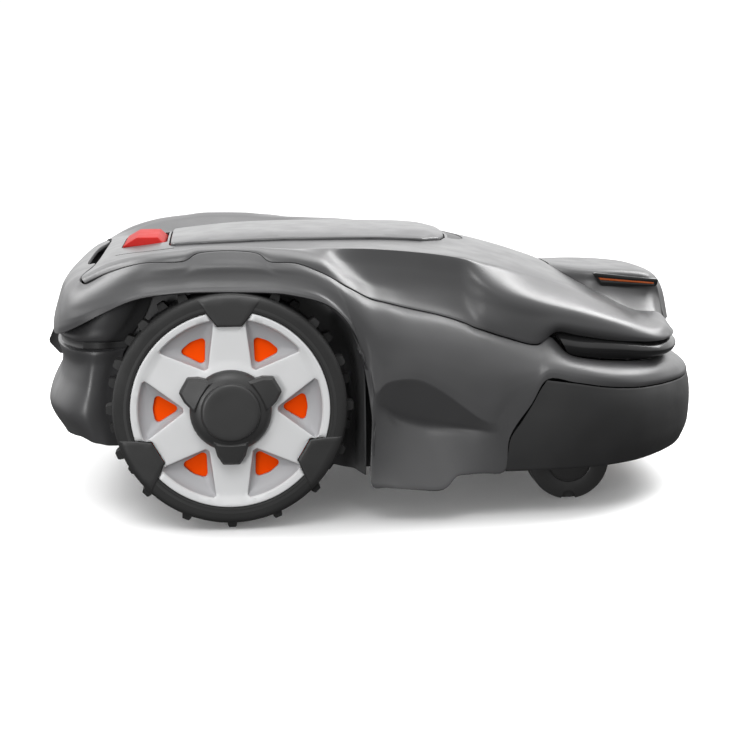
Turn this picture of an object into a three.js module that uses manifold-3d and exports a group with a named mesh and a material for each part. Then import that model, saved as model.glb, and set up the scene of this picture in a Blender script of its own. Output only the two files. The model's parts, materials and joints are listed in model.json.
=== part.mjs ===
// Robotic lawn mower, in millimetres: +X is forward, +Y is its left side and +Z is up.
// The origin is on the ground under the middle of its outline.
import * as THREE from "three";
import { mergeVertices, mergeGeometries } from "three/addons/utils/BufferGeometryUtils.js";
import Module from "manifold-3d";

const wasm = await Module();
wasm.setup();

// Driving dimensions.
const HALF_LENGTH = 366.5; // ground plan: the nose of the bumper and the tail fin
const HUB_CAP_FACE = 279; // half of the overall width, over the hub caps
const WHEEL = { x: -165, z: 125, lugRadius: 125, tyreRadius: 117, rimRadius: 100.3 };
const TYRE_FACE = 264; // outer face of the tyre, from the centre plane
const TYRE_WIDTH = 58;
const LUGS_PER_ROW = 16;
const CASTER = { x: 221, y: 155, trail: 18, radius: 44, width: 34 };
const DISC = { x: 45, radius: 95, z: 44, thickness: 3 };
const WALL = 3; // moulded shell thickness
const GAP = 0.3; // between pieces that touch
const SEAM = 1.8; // the side shell starts this far under the hood's edge
const FLOOR_Z = 52; // underside of the chassis tub
const TUB_TOP = 165;
const WELL = { radius: 132, roof: 90 };
const TAU = Math.PI * 2;

// Materials.
const plastic = (color, roughness = 0.55, metalness = 0) =>
  new THREE.MeshStandardMaterial({ color, roughness, metalness });
const shellGrey = plastic(0x55575a, 0.42);
const hoodGrey = plastic(0x4c4e51, 0.35);
const bumperBlack = plastic(0x232425, 0.6);
const chassisBlack = plastic(0x2b2c2e, 0.7);
const tyreBlack = plastic(0x2e2f30, 0.85);
const rimSilver = plastic(0xb9bbbd, 0.35, 0.5);
const capGrey = plastic(0x3a3b3c, 0.5);
const accentOrange = plastic(0xe84c00, 0.5);
const stopRed = plastic(0xc01a14, 0.35);
const smokedLens = plastic(0x222426, 0.1);
const glossBlack = plastic(0x111213, 0.12);
const steel = plastic(0xb4b6b8, 0.3, 1);
const copper = plastic(0xb9824c, 0.35, 1);
const boardGreen = plastic(0x1e5a34, 0.6);
const batteryBlue = plastic(0x2c3440, 0.6);

// ---- Booleans -------------------------------------------------------------------------------

function toSolid(geometry) {
  const g = geometry.clone();
  g.deleteAttribute("normal");
  g.deleteAttribute("uv");
  const merged = mergeVertices(g, 1e-3);
  return new wasm.Manifold(
    new wasm.Mesh({
      numProp: 3,
      vertProperties: merged.attributes.position.array,
      triVerts: new Uint32Array(merged.index.array),
    }),
  );
}

function toGeometry(solid) {
  const mesh = solid.getMesh();
  return new THREE.BufferGeometry()
    .setAttribute("position", new THREE.BufferAttribute(mesh.vertProperties, 3))
    .setIndex(new THREE.BufferAttribute(mesh.triVerts, 1));
}

const cut = (base, ...tools) =>
  toGeometry(tools.reduce((s, t) => s.subtract(toSolid(t)), toSolid(base)));
const join = (base, ...more) => toGeometry(more.reduce((s, t) => s.add(toSolid(t)), toSolid(base)));
const common = (a, b) => toGeometry(toSolid(a).intersect(toSolid(b)));

// ---- Simple solids --------------------------------------------------------------------------

const box = (low, high) =>
  new THREE.BoxGeometry(high[0] - low[0], high[1] - low[1], high[2] - low[2]).translate(
    (low[0] + high[0]) / 2,
    (low[1] + high[1]) / 2,
    (low[2] + high[2]) / 2,
  );

// A cylinder standing on z = low at (x, y).
const post = (x, y, low, high, radius, sides = 24, topRadius = radius) =>
  new THREE.CylinderGeometry(topRadius, radius, high - low, sides)
    .rotateX(Math.PI / 2)
    .translate(x, y, (low + high) / 2);

// A cylinder along Y from y = low to high.
const crossBar = (x, z, low, high, radius, sides = 24) =>
  new THREE.CylinderGeometry(radius, radius, high - low, sides).translate(x, (low + high) / 2, z);

// An outline in plan, [x, y] points, raised from z = low to high.
function prism(points, low, high, holes = []) {
  const shape = new THREE.Shape(points.map(([x, y]) => new THREE.Vector2(x, y)));
  holes.forEach((hole) =>
    shape.holes.push(new THREE.Path(hole.map(([x, y]) => new THREE.Vector2(x, y)))),
  );
  return new THREE.ExtrudeGeometry(shape, { depth: high - low, bevelEnabled: false }).translate(
    0,
    0,
    low,
  );
}

// The right half of a plan outline, [x, y >= 0] from front to rear, made whole by its mirror image.
const bothSides = (half) => [
  ...half.map(([x, y]) => [x, -y]).reverse(),
  ...half.filter(([, y]) => y > 0),
];

// An outline in polar form about the origin, [radius, degrees] points, pulled along Z.
const polar = (radius, degrees) => [
  radius * Math.cos((degrees * Math.PI) / 180),
  radius * Math.sin((degrees * Math.PI) / 180),
];

// ---- Moulded sheets -------------------------------------------------------------------------

// Centripetal Catmull-Rom point between b and c.
function through(a, b, c, d, t) {
  const step = (p, q) => Math.max(Math.sqrt(p.distanceTo(q)), 1e-3);
  const k1 = step(a, b);
  const k2 = k1 + step(b, c);
  const k3 = k2 + step(c, d);
  const k = k1 + t * (k2 - k1);
  const mix = (p, q, lo, hi) => p.clone().lerp(q, (k - lo) / (hi - lo));
  const ab = mix(a, b, 0, k1);
  const bc = mix(b, c, k1, k2);
  const cd = mix(c, d, k2, k3);
  return mix(mix(ab, bc, 0, k2), mix(bc, cd, k1, k3), k1, k2);
}

// A smooth curve through points, with `per` steps between neighbours.
function smooth(points, per, loop) {
  const n = points.length;
  const at = (i) => {
    if (loop) return points[(i + n) % n];
    if (i < 0) return points[0].clone().multiplyScalar(2).sub(points[1]);
    if (i >= n) return points[n - 1].clone().multiplyScalar(2).sub(points[n - 2]);
    return points[i];
  };
  const made = [];
  for (let i = 0; i < (loop ? n : n - 1); i++)
    for (let s = 0; s < per; s++) made.push(through(at(i - 1), at(i), at(i + 1), at(i + 2), s / per));
  if (!loop) made.push(points[n - 1].clone());
  return made;
}

// Stations are cross-sections, each a list of [x, y, z] at the same rows.
function surface(stations, perStation, perRow, loop = false) {
  const sections = stations.map((s) =>
    smooth(
      s.map((p) => new THREE.Vector3(...p)),
      perRow,
      false,
    ),
  );
  const rows = sections[0].map((_, r) =>
    smooth(
      sections.map((s) => s[r]),
      perStation,
      loop,
    ),
  );
  return rows[0].map((_, c) => rows.map((row) => row[c]));
}

const mirrored = (station) => station.map(([x, y, z]) => [x, -y, z]);

// A closed body from a list of vertices and quads or triangles, turned to face out.
function body(vertices, faces) {
  const index = [];
  faces.forEach((f) => {
    index.push(f[0], f[1], f[2]);
    if (f.length === 4) index.push(f[0], f[2], f[3]);
  });
  let volume = 0;
  for (let i = 0; i < index.length; i += 3) {
    const [a, b, c] = [0, 1, 2].map((k) => vertices[index[i + k]]);
    volume += a.dot(b.clone().cross(c));
  }
  if (volume < 0) index.reverse();
  return new THREE.BufferGeometry()
    .setAttribute(
      "position",
      new THREE.Float32BufferAttribute(
        vertices.flatMap((v) => v.toArray()),
        3,
      ),
    )
    .setIndex(index);
}

// Thickens a sheet of points towards `inside`, a point-to-point function, and closes its edges.
function thicken(sheet, inside, loop = false) {
  const cols = sheet.length;
  const rows = sheet[0].length;
  const vertices = [...sheet.flat(), ...sheet.flat().map(inside)];
  const half = cols * rows;
  const id = (c, r, layer) => (c % cols) * rows + r + layer * half;
  const faces = [];
  const lastCol = loop ? cols : cols - 1;
  for (let c = 0; c < lastCol; c++)
    for (let r = 0; r < rows - 1; r++) {
      faces.push([id(c, r, 0), id(c + 1, r, 0), id(c + 1, r + 1, 0), id(c, r + 1, 0)]);
      faces.push([id(c, r, 1), id(c, r + 1, 1), id(c + 1, r + 1, 1), id(c + 1, r, 1)]);
    }
  for (let c = 0; c < lastCol; c++) {
    faces.push([id(c, 0, 0), id(c, 0, 1), id(c + 1, 0, 1), id(c + 1, 0, 0)]);
    faces.push([id(c, rows - 1, 0), id(c + 1, rows - 1, 0), id(c + 1, rows - 1, 1), id(c, rows - 1, 1)]);
  }
  if (!loop)
    for (let r = 0; r < rows - 1; r++) {
      faces.push([id(0, r, 0), id(0, r + 1, 0), id(0, r + 1, 1), id(0, r, 1)]);
      faces.push([id(cols - 1, r, 0), id(cols - 1, r, 1), id(cols - 1, r + 1, 1), id(cols - 1, r + 1, 0)]);
    }
  return body(vertices, faces);
}

// The inner wall of a shell: each point moves square to the sheet by the wall thickness.
// A row of `level` numbers moves level instead, so two walls that meet there stay side by side.
function offsetInward(sheet, thickness, towards, loop = false, level = []) {
  const cols = sheet.length;
  const rows = sheet[0].length;
  const moved = new Map();
  sheet.forEach((column, c) =>
    column.forEach((p, r) => {
      const before = sheet[loop ? (c + cols - 1) % cols : Math.max(c - 1, 0)][r];
      const after = sheet[loop ? (c + 1) % cols : Math.min(c + 1, cols - 1)][r];
      const along = after.clone().sub(before);
      const across = column[Math.min(r + 1, rows - 1)].clone().sub(column[Math.max(r - 1, 0)]);
      const normal = along.cross(across).normalize();
      if (normal.dot(towards.clone().sub(p)) < 0) normal.negate();
      if (level.includes(r)) normal.set(-p.x / 3, -p.y, 0).normalize();
      moved.set(p, p.clone().addScaledVector(normal, thickness));
    }),
  );
  return (p) => moved.get(p);
}

// ---- Body surfaces --------------------------------------------------------------------------

// Hood: half cross-sections from the centre line out to the gap, from the rear to the front.
const HOOD_HALF = [
  [[-301, 0, 262], [-301, 60, 262], [-302, 110, 261], [-305, 160, 259], [-311, 198, 256], [-315, 208, 254], [-317, 214, 252], [-319, 220, 249]],
  [[-285, 0, 268], [-285, 60, 268], [-285, 110, 266], [-285, 165, 262], [-285, 213, 277], [-285, 224, 274], [-285, 230, 269], [-285, 235, 261]],
  [[-250, 0, 273], [-250, 60, 273], [-250, 108, 269], [-250, 172, 263], [-250, 222, 282], [-250, 232, 280], [-250, 237, 276], [-250, 240, 272]],
  [[-205, 0, 280], [-205, 60, 279], [-205, 106, 274], [-205, 175, 263], [-205, 227, 285], [-205, 236, 283], [-205, 241, 279], [-205, 243, 274]],
  [[-160, 0, 285], [-160, 60, 284], [-160, 105, 277], [-160, 176, 263], [-160, 228, 286], [-160, 237, 284], [-160, 242, 279], [-160, 244, 273.5]],
  [[-115, 0, 288], [-115, 60, 287], [-115, 105, 279], [-115, 176, 264], [-115, 226, 284], [-115, 235, 281], [-115, 240, 276], [-115, 243, 271]],
  [[-75, 0, 290], [-75, 60, 288], [-75, 105, 280], [-75, 168, 272], [-75, 208, 281], [-75, 224, 275], [-75, 233, 268], [-75, 238, 261]],
  [[-30, 0, 290], [-30, 60, 288], [-30, 105, 280], [-30, 165, 278], [-30, 197, 279.5], [-30, 205, 262], [-30, 218, 247], [-30, 229, 237]],
  [[25, 0, 289], [25, 60, 287], [25, 103, 279], [25, 160, 277], [25, 191, 275], [25, 196, 252], [25, 206, 233], [25, 219, 219]],
  [[75, 0, 281], [75, 50, 280], [75, 100, 274], [75, 155, 271], [75, 189, 268], [75, 195, 246], [75, 205, 224], [75, 216, 204]],
  [[120, 0, 269.5], [120, 48, 269], [120, 98, 266], [120, 148, 262], [120, 177, 257], [120, 206, 232], [120, 212, 210], [120, 215, 188.5]],
  [[160, 0, 259], [160, 48, 258], [160, 95, 254], [160, 130, 250], [160, 158, 244], [160, 205, 221], [160, 212, 200], [158, 213, 180]],
  [[200, 0, 246], [200, 46, 244], [200, 90, 239], [200, 122, 236], [200, 152, 231], [200, 202, 211], [200, 208, 198], [200, 203, 186]],
  [[245, 0, 222], [245, 45, 221], [245, 88, 219], [245, 118, 216], [245, 148, 212], [245, 191, 199], [245, 199, 188], [245, 196, 178]],
  [[290, 0, 202], [290, 45, 201], [290, 86, 199], [290, 112, 197], [290, 138, 194], [290, 170, 187], [289, 182, 179], [286, 186, 172]],
  [[318, 0, 199], [318, 45, 198], [318, 86, 196], [317, 106, 194], [316, 124, 190], [312, 148, 183], [307, 164, 177], [303, 175, 170.5]],
  [[336, 0, 173], [336, 45, 173], [335, 84, 173], [333, 100, 173], [331, 114, 172.5], [326, 132, 172], [322, 142, 171], [316, 155, 170.5]],
];

// Side shell: half cross-sections from the gap down to the lower edge, from the front round to the rear.
const SIDE_HALF = [
  [[322, 0, 150], [338, 0, 146], [351, 0, 141], [359, 0, 135], [362, 0, 130], [363, 0, 126]],
  [[322, 75, 149], [337, 80, 145], [348, 84, 139], [355, 87, 133], [357.5, 89, 129], [358, 90, 126]],
  [[315, 132, 148], [323, 137, 143], [330, 141, 137], [334, 143, 131], [335, 143.5, 128.5], [335, 144, 126.5]],
  [[294, 163, 148.5], [302, 166, 144], [309, 168, 138], [313, 170, 132], [313.5, 171, 129.5], [313.5, 171, 127]],
  [[272, 182, 150], [280, 188, 146], [286, 192, 140], [289, 195, 134.5], [290, 196, 131.5], [290, 196.5, 128.7]],
  [[246, 193, 153.5], [253, 204, 151], [259, 212, 145], [262, 216.5, 139], [262.5, 217.3, 135], [262.5, 217.8, 131.2]],
  [[222, 197, 159], [225, 213, 157], [227, 225, 152], [228, 231, 146], [228, 232.5, 141], [227, 233, 136.2]],
  [[193, 199, 166], [193, 217, 163.5], [193, 230, 158], [193, 236, 151.5], [193, 238, 147], [192, 239, 142.2]],
  [[171, 201, 176], [167, 221, 171], [165, 232, 163], [164, 236.5, 156], [164, 238.3, 151], [163, 239, 146.2]],
  [[157, 211, 177], [155, 221, 170], [153, 231, 160], [150, 237, 147], [147, 240, 133], [144, 241.5, 120.5]],
  [[122, 214.5, 187.5], [122, 225, 177], [123, 234, 160], [123, 240, 138], [122, 243, 112], [121, 245, 86.5]],
  [[88, 215.5, 198.5], [90, 226, 188], [94, 237, 167], [99, 243, 140], [106, 245, 100], [115.5, 247.5, 51]],
  [[53, 217, 211.5], [54, 229, 200], [58, 241, 175], [62, 247, 145], [68, 246, 97], [71, 255, 50]],
  [[16, 219.5, 220.5], [18, 232, 209], [22, 245, 182], [27, 251, 148], [33, 241, 98], [50, 262, 38]],
  [[-12, 224, 228.5], [-8, 236, 215], [-1, 247, 186], [3, 250.5, 150], [8, 240, 104], [16, 259, 38]],
  [[-22, 227, 232], [-20, 238, 217], [-16, 246, 188], [-15, 248.5, 150], [-17, 246, 100], [-18, 251, 44]],
  [[-30, 230, 236.5], [-30, 239, 223], [-29, 245, 202], [-27, 247, 175], [-26, 247, 150], [-24, 247.5, 125]],
  [[-40, 233.5, 242], [-41, 240, 232], [-41, 244, 220], [-40, 246, 208], [-38, 247.5, 197], [-36, 248.5, 186]],
  [[-56, 236.5, 251], [-56, 242, 244], [-56, 245.5, 237], [-56, 248, 231], [-56, 251, 226], [-56, 254, 221]],
  [[-78, 239.5, 262], [-78, 244.5, 256], [-78, 247, 250], [-79, 249.5, 245], [-80, 253, 240], [-80, 257, 236]],
  [[-115, 243.3, 270.5], [-115, 247.5, 265.5], [-116, 249, 259], [-117, 250.5, 253], [-118, 254, 247], [-118, 258, 242]],
  [[-163, 244.3, 273], [-163, 248.5, 268], [-163, 249.5, 261.5], [-163, 251, 255.5], [-163, 254.5, 249.5], [-163, 258, 244]],
  [[-208, 243.3, 273.5], [-208, 248, 268], [-208, 249, 261.5], [-208, 250.5, 255.5], [-208, 254.5, 249.5], [-208, 258, 244]],
  [[-250, 240.3, 271.5], [-250, 245.5, 265], [-251, 247.5, 258], [-252, 249.5, 251], [-254, 253.5, 244.5], [-255, 257, 238]],
  [[-285, 235.3, 260.5], [-286, 240.5, 253], [-288, 243, 246], [-288, 245, 239], [-288, 247.5, 231.5], [-287, 249, 224.5]],
  [[-307, 226.5, 251], [-312, 231, 244.5], [-314, 234, 236.5], [-315, 236.5, 228], [-313, 239, 219.5], [-311, 241, 211.5]],
  [[-320, 213, 248.5], [-327, 217, 242.5], [-332, 220.5, 233], [-334, 223.5, 222], [-333, 227.5, 211.5], [-329, 231, 202]],
  [[-328, 188, 247.5], [-337, 190, 240.5], [-342, 192, 229.5], [-344, 193.5, 217], [-344, 195.5, 205], [-342, 198, 195.5]],
  [[-332, 150, 247], [-342, 150, 240], [-347.5, 150, 229], [-350, 150, 214.5], [-351, 150, 202.5], [-350.5, 150, 192]],
  [[-333, 90, 247], [-344, 90, 240.5], [-350, 90, 229.5], [-353, 90, 214.5], [-355, 90, 202.5], [-355, 90, 191]],
  [[-333, 0, 247], [-345, 0, 241.5], [-351, 0, 230], [-354.5, 0, 214.5], [-356, 0, 202.5], [-356, 0, 190]],
];

// Rear cowl: half cross-sections from its hidden top edge down, from the wheel round to the rear.
const COWL_HALF = [
  [[-268, 226, 211], [-283, 231, 190], [-291, 227, 172], [-298, 229, 143], [-298, 234, 112], [-292, 231, 84]],
  [[-290, 221, 209], [-300, 224, 190], [-304, 215, 172.5], [-307, 219, 143], [-312, 226, 112], [-303, 218, 82]],
  [[-312, 205, 207], [-321, 208, 189.5], [-317, 200, 172.5], [-320, 204, 144], [-330, 208, 112], [-315, 199, 81]],
  [[-325, 176, 205], [-336, 179, 189], [-331, 174, 172], [-334, 176, 145], [-345, 178, 114], [-330, 166, 80]],
  [[-332, 128, 204], [-345, 130, 188], [-340, 129, 171], [-342, 130, 146], [-356, 130, 115], [-341, 125, 79]],
  [[-336, 70, 203], [-350, 70, 187], [-345, 70, 170], [-348, 70, 146], [-361, 70, 115], [-346, 70, 78]],
  [[-337, 0, 203], [-351, 0, 187], [-347, 0, 170], [-349.5, 0, 146], [-362.5, 0, 115], [-348, 0, 78]],
];

// Front bumper: half cross-sections from the top edge down, from its rear end round to the front.
const BUMPER_HALF = [
  [[163.5, 239, 145.5], [145, 242, 120], [122.5, 245.5, 86.5], [117, 248, 51]],
  [[192, 239.3, 141.4], [189, 243, 118], [186, 246, 86], [185, 244.5, 51.5]],
  [[227, 233.3, 135.4], [227, 237, 115], [227, 239, 85], [226, 236, 52]],
  [[262.5, 218, 130.4], [265, 222, 112], [266, 223, 85], [264, 217, 52.5]],
  [[290, 196.7, 128], [293, 199.5, 110], [294.5, 199.5, 85], [290, 194, 53]],
  [[313.5, 171.3, 126.2], [317, 173.5, 109], [318, 173.5, 85], [312, 168.5, 53.5]],
  [[335, 144.3, 125.8], [338.5, 146, 108], [339.5, 145.5, 85], [332, 142, 54.5]],
  [[358, 90, 125.3], [361, 91, 107], [361.5, 90.5, 85], [354.5, 88.5, 56]],
  [[362, 45, 125.3], [365.5, 45, 107], [365.7, 45, 85], [360, 44, 57.5]],
  [[363, 0, 125.3], [HALF_LENGTH, 0, 107], [HALF_LENGTH, 0, 85], [361.5, 0, 58]],
];

// Headlight: half cross-sections, top to bottom, along the wing's lower edge.
const LENS_HALF = [
  [[184, 197, 182], [186, 203, 177], [189, 204.5, 172], [193, 202, 167.5]],
  [[202, 197, 180.5], [203, 202.5, 175], [204, 204, 169.5], [205, 201.5, 163.5]],
  [[227, 193, 176.5], [228.5, 199, 171], [229, 201, 165.5], [228, 197.5, 159]],
  [[253, 187, 172.5], [255, 194, 167.5], [256, 196, 161.5], [254, 191.5, 154.5]],
  [[275, 179, 168], [279, 185.5, 163.5], [280, 187.5, 158], [277, 182, 151.3]],
  [[294, 167, 166], [299, 172.5, 162], [301, 174.5, 156], [296, 167.5, 150]],
  [[308, 149, 166], [314.5, 153, 162], [316.5, 154, 156], [312.5, 148, 149.7]],
  [[320, 119, 167], [328, 120, 163], [330, 121, 157], [326, 116.5, 151]],
  [[325, 80, 167], [333, 80, 163], [336, 80, 158], [332, 79.5, 151.8]],
];

// Nose: cross-sections from its middle out and down, from the hood to the front.
const NOSE_HALF = [
  [[206, 0, 243.5], [206, 28, 243], [206, 38, 239], [206, 42, 228], [206, 44, 216], [206, 44, 190]],
  [[226, 0, 242], [226, 44, 241], [226, 58, 237], [226, 62, 228], [226, 64, 218], [226, 64, 180]],
  [[250, 0, 240.5], [250, 60, 239], [250, 70, 235.5], [250, 74, 224], [250, 80, 212], [250, 80, 160]],
  [[285, 0, 237.5], [285, 60, 236], [285, 68, 232.5], [285, 72, 212], [285, 92, 197], [285, 92, 154]],
  [[318, 0, 233], [318, 56, 231], [318, 64, 227.5], [318, 68, 200], [318, 82, 184], [318, 82, 152]],
  [[334, 0, 226], [334, 50, 224], [334, 58, 220], [336, 62, 196], [338, 66, 182], [336, 66, 152]],
  [[343, 0, 214], [342, 46, 212], [341, 52, 207], [343, 56, 190], [344, 58, 176], [343, 58, 152]],
  [[351, 0, 180], [350, 42, 180], [349, 48, 178], [349.5, 50, 172], [350, 52, 166], [349, 52, 152]],
];

const CENTRE = new THREE.Vector3(0, 0, 150);
const BELOW_HOOD = new THREE.Vector3(0, 0, 100);

function hoodSheet(perStation, perRow) {
  const whole = HOOD_HALF.map((s) => [...mirrored(s).reverse(), ...s.slice(1)]);
  return surface(whole, perStation, perRow);
}

function aroundSheet(half, perStation, perRow, loop) {
  const left = loop ? half.slice(1, -1).reverse() : half.slice(0, -1).reverse();
  return surface([...half.map(mirrored), ...left], perStation, perRow, loop);
}

function sheetSolid(sheet, thickness, { loop = false, towards = CENTRE, level = [] } = {}) {
  return thicken(sheet, offsetInward(sheet, thickness, towards, loop, level), loop);
}

// ---- Shell pieces ---------------------------------------------------------------------------

const HATCH_PLAN = [
  [82, 0], [81, 35], [78, 62], [70, 83], [49, 99], [-16, 104], [-79, 104], [-151, 99], [-222, 90], [-226, 84], [-226, 0],
];
const NOTCH_PLAN = [
  [420, 104], [330, 104], [299, 101], [280, 96], [260, 89], [239, 76], [216, 60], [205, 40], [202.5, 0],
];
const LED_PLAN = [[108, 0], [106, 25], [99, 46], [88, 58], [83.5, 58], [86.5, 35], [87.5, 0]];
const BUTTON = { rear: -279, front: -231.5, half: 60, low: 262, high: 280 };
const PANEL_Z = 258;
const grow = (plan, by) =>
  plan.map(([x, y]) => {
    const d = Math.hypot(x + 60, y) || 1;
    return [x + (by * (x + 60)) / d, y === 0 ? 0 : y + (by * y) / d];
  });

function crown(lift = 0) {
  const sheet = hoodSheet(1, 1);
  sheet.flat().forEach((p) => (p.z += lift));
  return sheetSolid(sheet, WALL, { towards: BELOW_HOOD, level: [0, sheet[0].length - 1] });
}

function hood() {
  const shell = crown();
  return cut(
    shell,
    prism(bothSides(NOTCH_PLAN), 100, 320),
    prism(bothSides(grow(HATCH_PLAN, 1)), 240, 320),
    prism(bothSides(LED_PLAN), 240, 320),
    box([BUTTON.rear - 1, -BUTTON.half - 1, 240], [BUTTON.front + 1, BUTTON.half + 1, 320]),
  );
}

// The hatch is the hood's own crown inside its outline, raised a little.
const hatch = () => common(crown(1), prism(bothSides(HATCH_PLAN), 240, 320));

function ledWindow() {
  const plan = LED_PLAN.map(([x, y]) => [96 + (x - 96) * 0.94, y * 0.985]);
  return common(crown(), prism(bothSides(plan), 240, 320));
}

function stopButton() {
  const { rear, front, half, low, high } = BUTTON;
  const inset = 8;
  const points = [];
  [
    [rear, front, half, low],
    [rear, front, half, low + 7],
    [rear + inset, front - inset - 2, half - 5, high],
  ].forEach(([x0, x1, y, z]) =>
    points.push([
      new THREE.Vector3(x0, -y, z),
      new THREE.Vector3(x1, -y, z),
      new THREE.Vector3(x1, y, z),
      new THREE.Vector3(x0, y, z),
    ]),
  );
  const vertices = points.flat();
  const faces = [[3, 2, 1, 0], [8, 9, 10, 11]];
  for (let level = 0; level < 2; level++)
    for (let k = 0; k < 4; k++) {
      const a = level * 4 + k;
      const b = level * 4 + ((k + 1) % 4);
      faces.push([a, b, b + 4, a + 4]);
    }
  return body(vertices, faces);
}

function nose() {
  const sheet = surface(
    NOSE_HALF.map((s) => [...mirrored(s).reverse(), ...s.slice(1)]),
    1,
    1,
  );
  const shell = sheetSolid(sheet, WALL, { towards: new THREE.Vector3(260, 0, 150) });
  const pockets = [-1, 1].map((side) => prism(visorPlan(side, 0.8), 219, 245));
  return cut(shell, ...pockets);
}

function visorPlan(side, margin = 0) {
  const plan = [[247, 73.6], [326, 64.6], [327, 67.5], [322, 71], [252, 81], [246, 79]];
  const grown = plan.map(([x, y]) => [x + (x > 290 ? margin : -margin), side * (y - margin)]);
  return side < 0 ? grown.reverse() : grown;
}

function visor(side) {
  const slab = prism(visorPlan(side), 221, 246);
  const tilt = box([230, -100, 200], [340, 100, 226]).rotateY(0.1).translate(-22, 0, 28);
  const top = box([230, -100, 240], [340, 100, 260]).rotateY(0.1).translate(-24, 0, 26);
  return cut(slab, tilt.translate(0, 0, -3), top);
}

function tailFin() {
  const plan = [[-352, 0], [-352, 46], [-360, 40], [-HALF_LENGTH, 30], [-HALF_LENGTH, 0]];
  return prism(bothSides(plan.slice().reverse()), 148, 170);
}

function controlPanel() {
  const plan = [[60, 0], [60, 62], [44, 78], [-200, 78], [-206, 66], [-206, 0]];
  const plate = prism(bothSides(plan), PANEL_Z - 4, PANEL_Z);
  return cut(plate, post(-150, 0, PANEL_Z - 10, PANEL_Z + 10, 12.4, 24));
}

function lens(side) {
  const stations = side < 0 ? LENS_HALF.map(mirrored) : LENS_HALF;
  return sheetSolid(surface(stations, 1, 1), 5);
}

const bumper = () => sheetSolid(aroundSheet(BUMPER_HALF, 1, 1, false), WALL);

function sideShell() {
  const sheet = aroundSheet(SIDE_HALF, 1, 1, true);
  sheet.forEach((column) => (column[0].z -= SEAM));
  return sheetSolid(sheet, WALL, { loop: true, level: [0] });
}

const rearCowl = () => sheetSolid(aroundSheet(COWL_HALF, 1, 1, false), WALL);

// ---- Drive wheels ---------------------------------------------------------------------------

// A wheel piece is made with its axis along Z and its outer face up, then turned to face its side.
function onSide(geometry, side, face) {
  const g = geometry.clone();
  if (side < 0) return g.rotateX(Math.PI / 2).translate(WHEEL.x, -face, WHEEL.z);
  return g.rotateX(-Math.PI / 2).translate(WHEEL.x, face, WHEEL.z);
}

// A turned hoop with a closed profile, [radius, height] points.
function ring(profile, sides) {
  const points = profile.map(([r, z]) => new THREE.Vector2(r, z));
  if (THREE.ShapeUtils.isClockWise(points)) points.reverse();
  return new THREE.LatheGeometry([...points, points[0]], sides).rotateX(Math.PI / 2);
}

// A turned solid whose profile, [radius, height] points, starts and ends on its axis.
const turned = (profile, sides) =>
  new THREE.LatheGeometry(
    profile.map(([r, z]) => new THREE.Vector2(r, z)),
    sides,
  ).rotateX(Math.PI / 2);

function tyre() {
  const { tyreRadius: r, rimRadius, lugRadius } = WHEEL;
  let made = toSolid(
    ring(
      [[rimRadius + 0.4, 0], [rimRadius + 0.4, -TYRE_WIDTH], [r - 5, -TYRE_WIDTH], [r, -TYRE_WIDTH + 5], [r, -3], [r - 3, 0]],
      32,
    ),
  );
  for (let row = 0; row < 2; row++)
    for (let k = 0; k < LUGS_PER_ROW; k++) {
      const near = -15 - row * 21;
      const lug = prism([[r - 2, -5.5], [lugRadius, -4], [lugRadius, 4], [r - 2, 5.5]], near - 17, near)
        .rotateZ(((k + row / 2) * TAU) / LUGS_PER_ROW - Math.PI / 2);
      made = made.add(toSolid(lug));
    }
  return toGeometry(made);
}

const clipPlan = () => [[-31.5, 111.5], [-21.7, 96.5], [-12, 84.6], [12, 84.6], [21.7, 96.5], [31.5, 111.5]];

// Window in the rim between two spokes, as a rounded triangle about `middle` degrees.
const windowPlan = (middle) => [
  [77, middle - 9], [77, middle + 9], [69, middle + 11], [54, middle + 2], [54, middle - 2], [69, middle - 11],
].map(([r, degrees]) => polar(r, degrees));

function rim() {
  const { rimRadius } = WHEEL;
  const disc = ring(
    [[14, -3], [40, -3], [88, -4], [96, -1.5], [rimRadius, -1.5], [rimRadius, -40], [94, -40], [90, -18], [14, -14]],
    32,
  );
  const windows = [0, 60, 120, 180, 240, 300].map((a) => prism(windowPlan(a), -60, 10));
  const notches = [90, 210, 330].map((a) =>
    prism(clipPlan(), -8, 10).rotateZ(((a - 90) * Math.PI) / 180).scale(1.01, 1.01, 1),
  );
  return cut(disc, ...windows, ...notches);
}

function tyreClips() {
  const hoop = ring([[103.5, -0.6], [103.5, 0.8], [107, 0.8], [107, -0.6]], 32);
  const pads = [90, 210, 330].map((a) =>
    prism(clipPlan(), -0.6, 0.8).rotateZ(((a - 90) * Math.PI) / 180),
  );
  return join(hoop, ...pads);
}

const accentDisc = () => ring([[20, -15], [86, -18.6], [86, -20.5], [20, -17]], 30);

function hubCap() {
  const dome = turned([[0, -7.7], [41, -7.7], [41, 2], [34, 7.5], [29, 10], [0, 10]], 32);
  const ears = [30, 150, 270].map((a) =>
    prism([[34, -15.5], [46, -12.5], [54, -8], [54, 8], [46, 12.5], [34, 15.5]], -7.2, 3)
      .rotateZ((a * Math.PI) / 180),
  );
  return join(dome, ...ears);
}

// ---- Chassis --------------------------------------------------------------------------------

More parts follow.
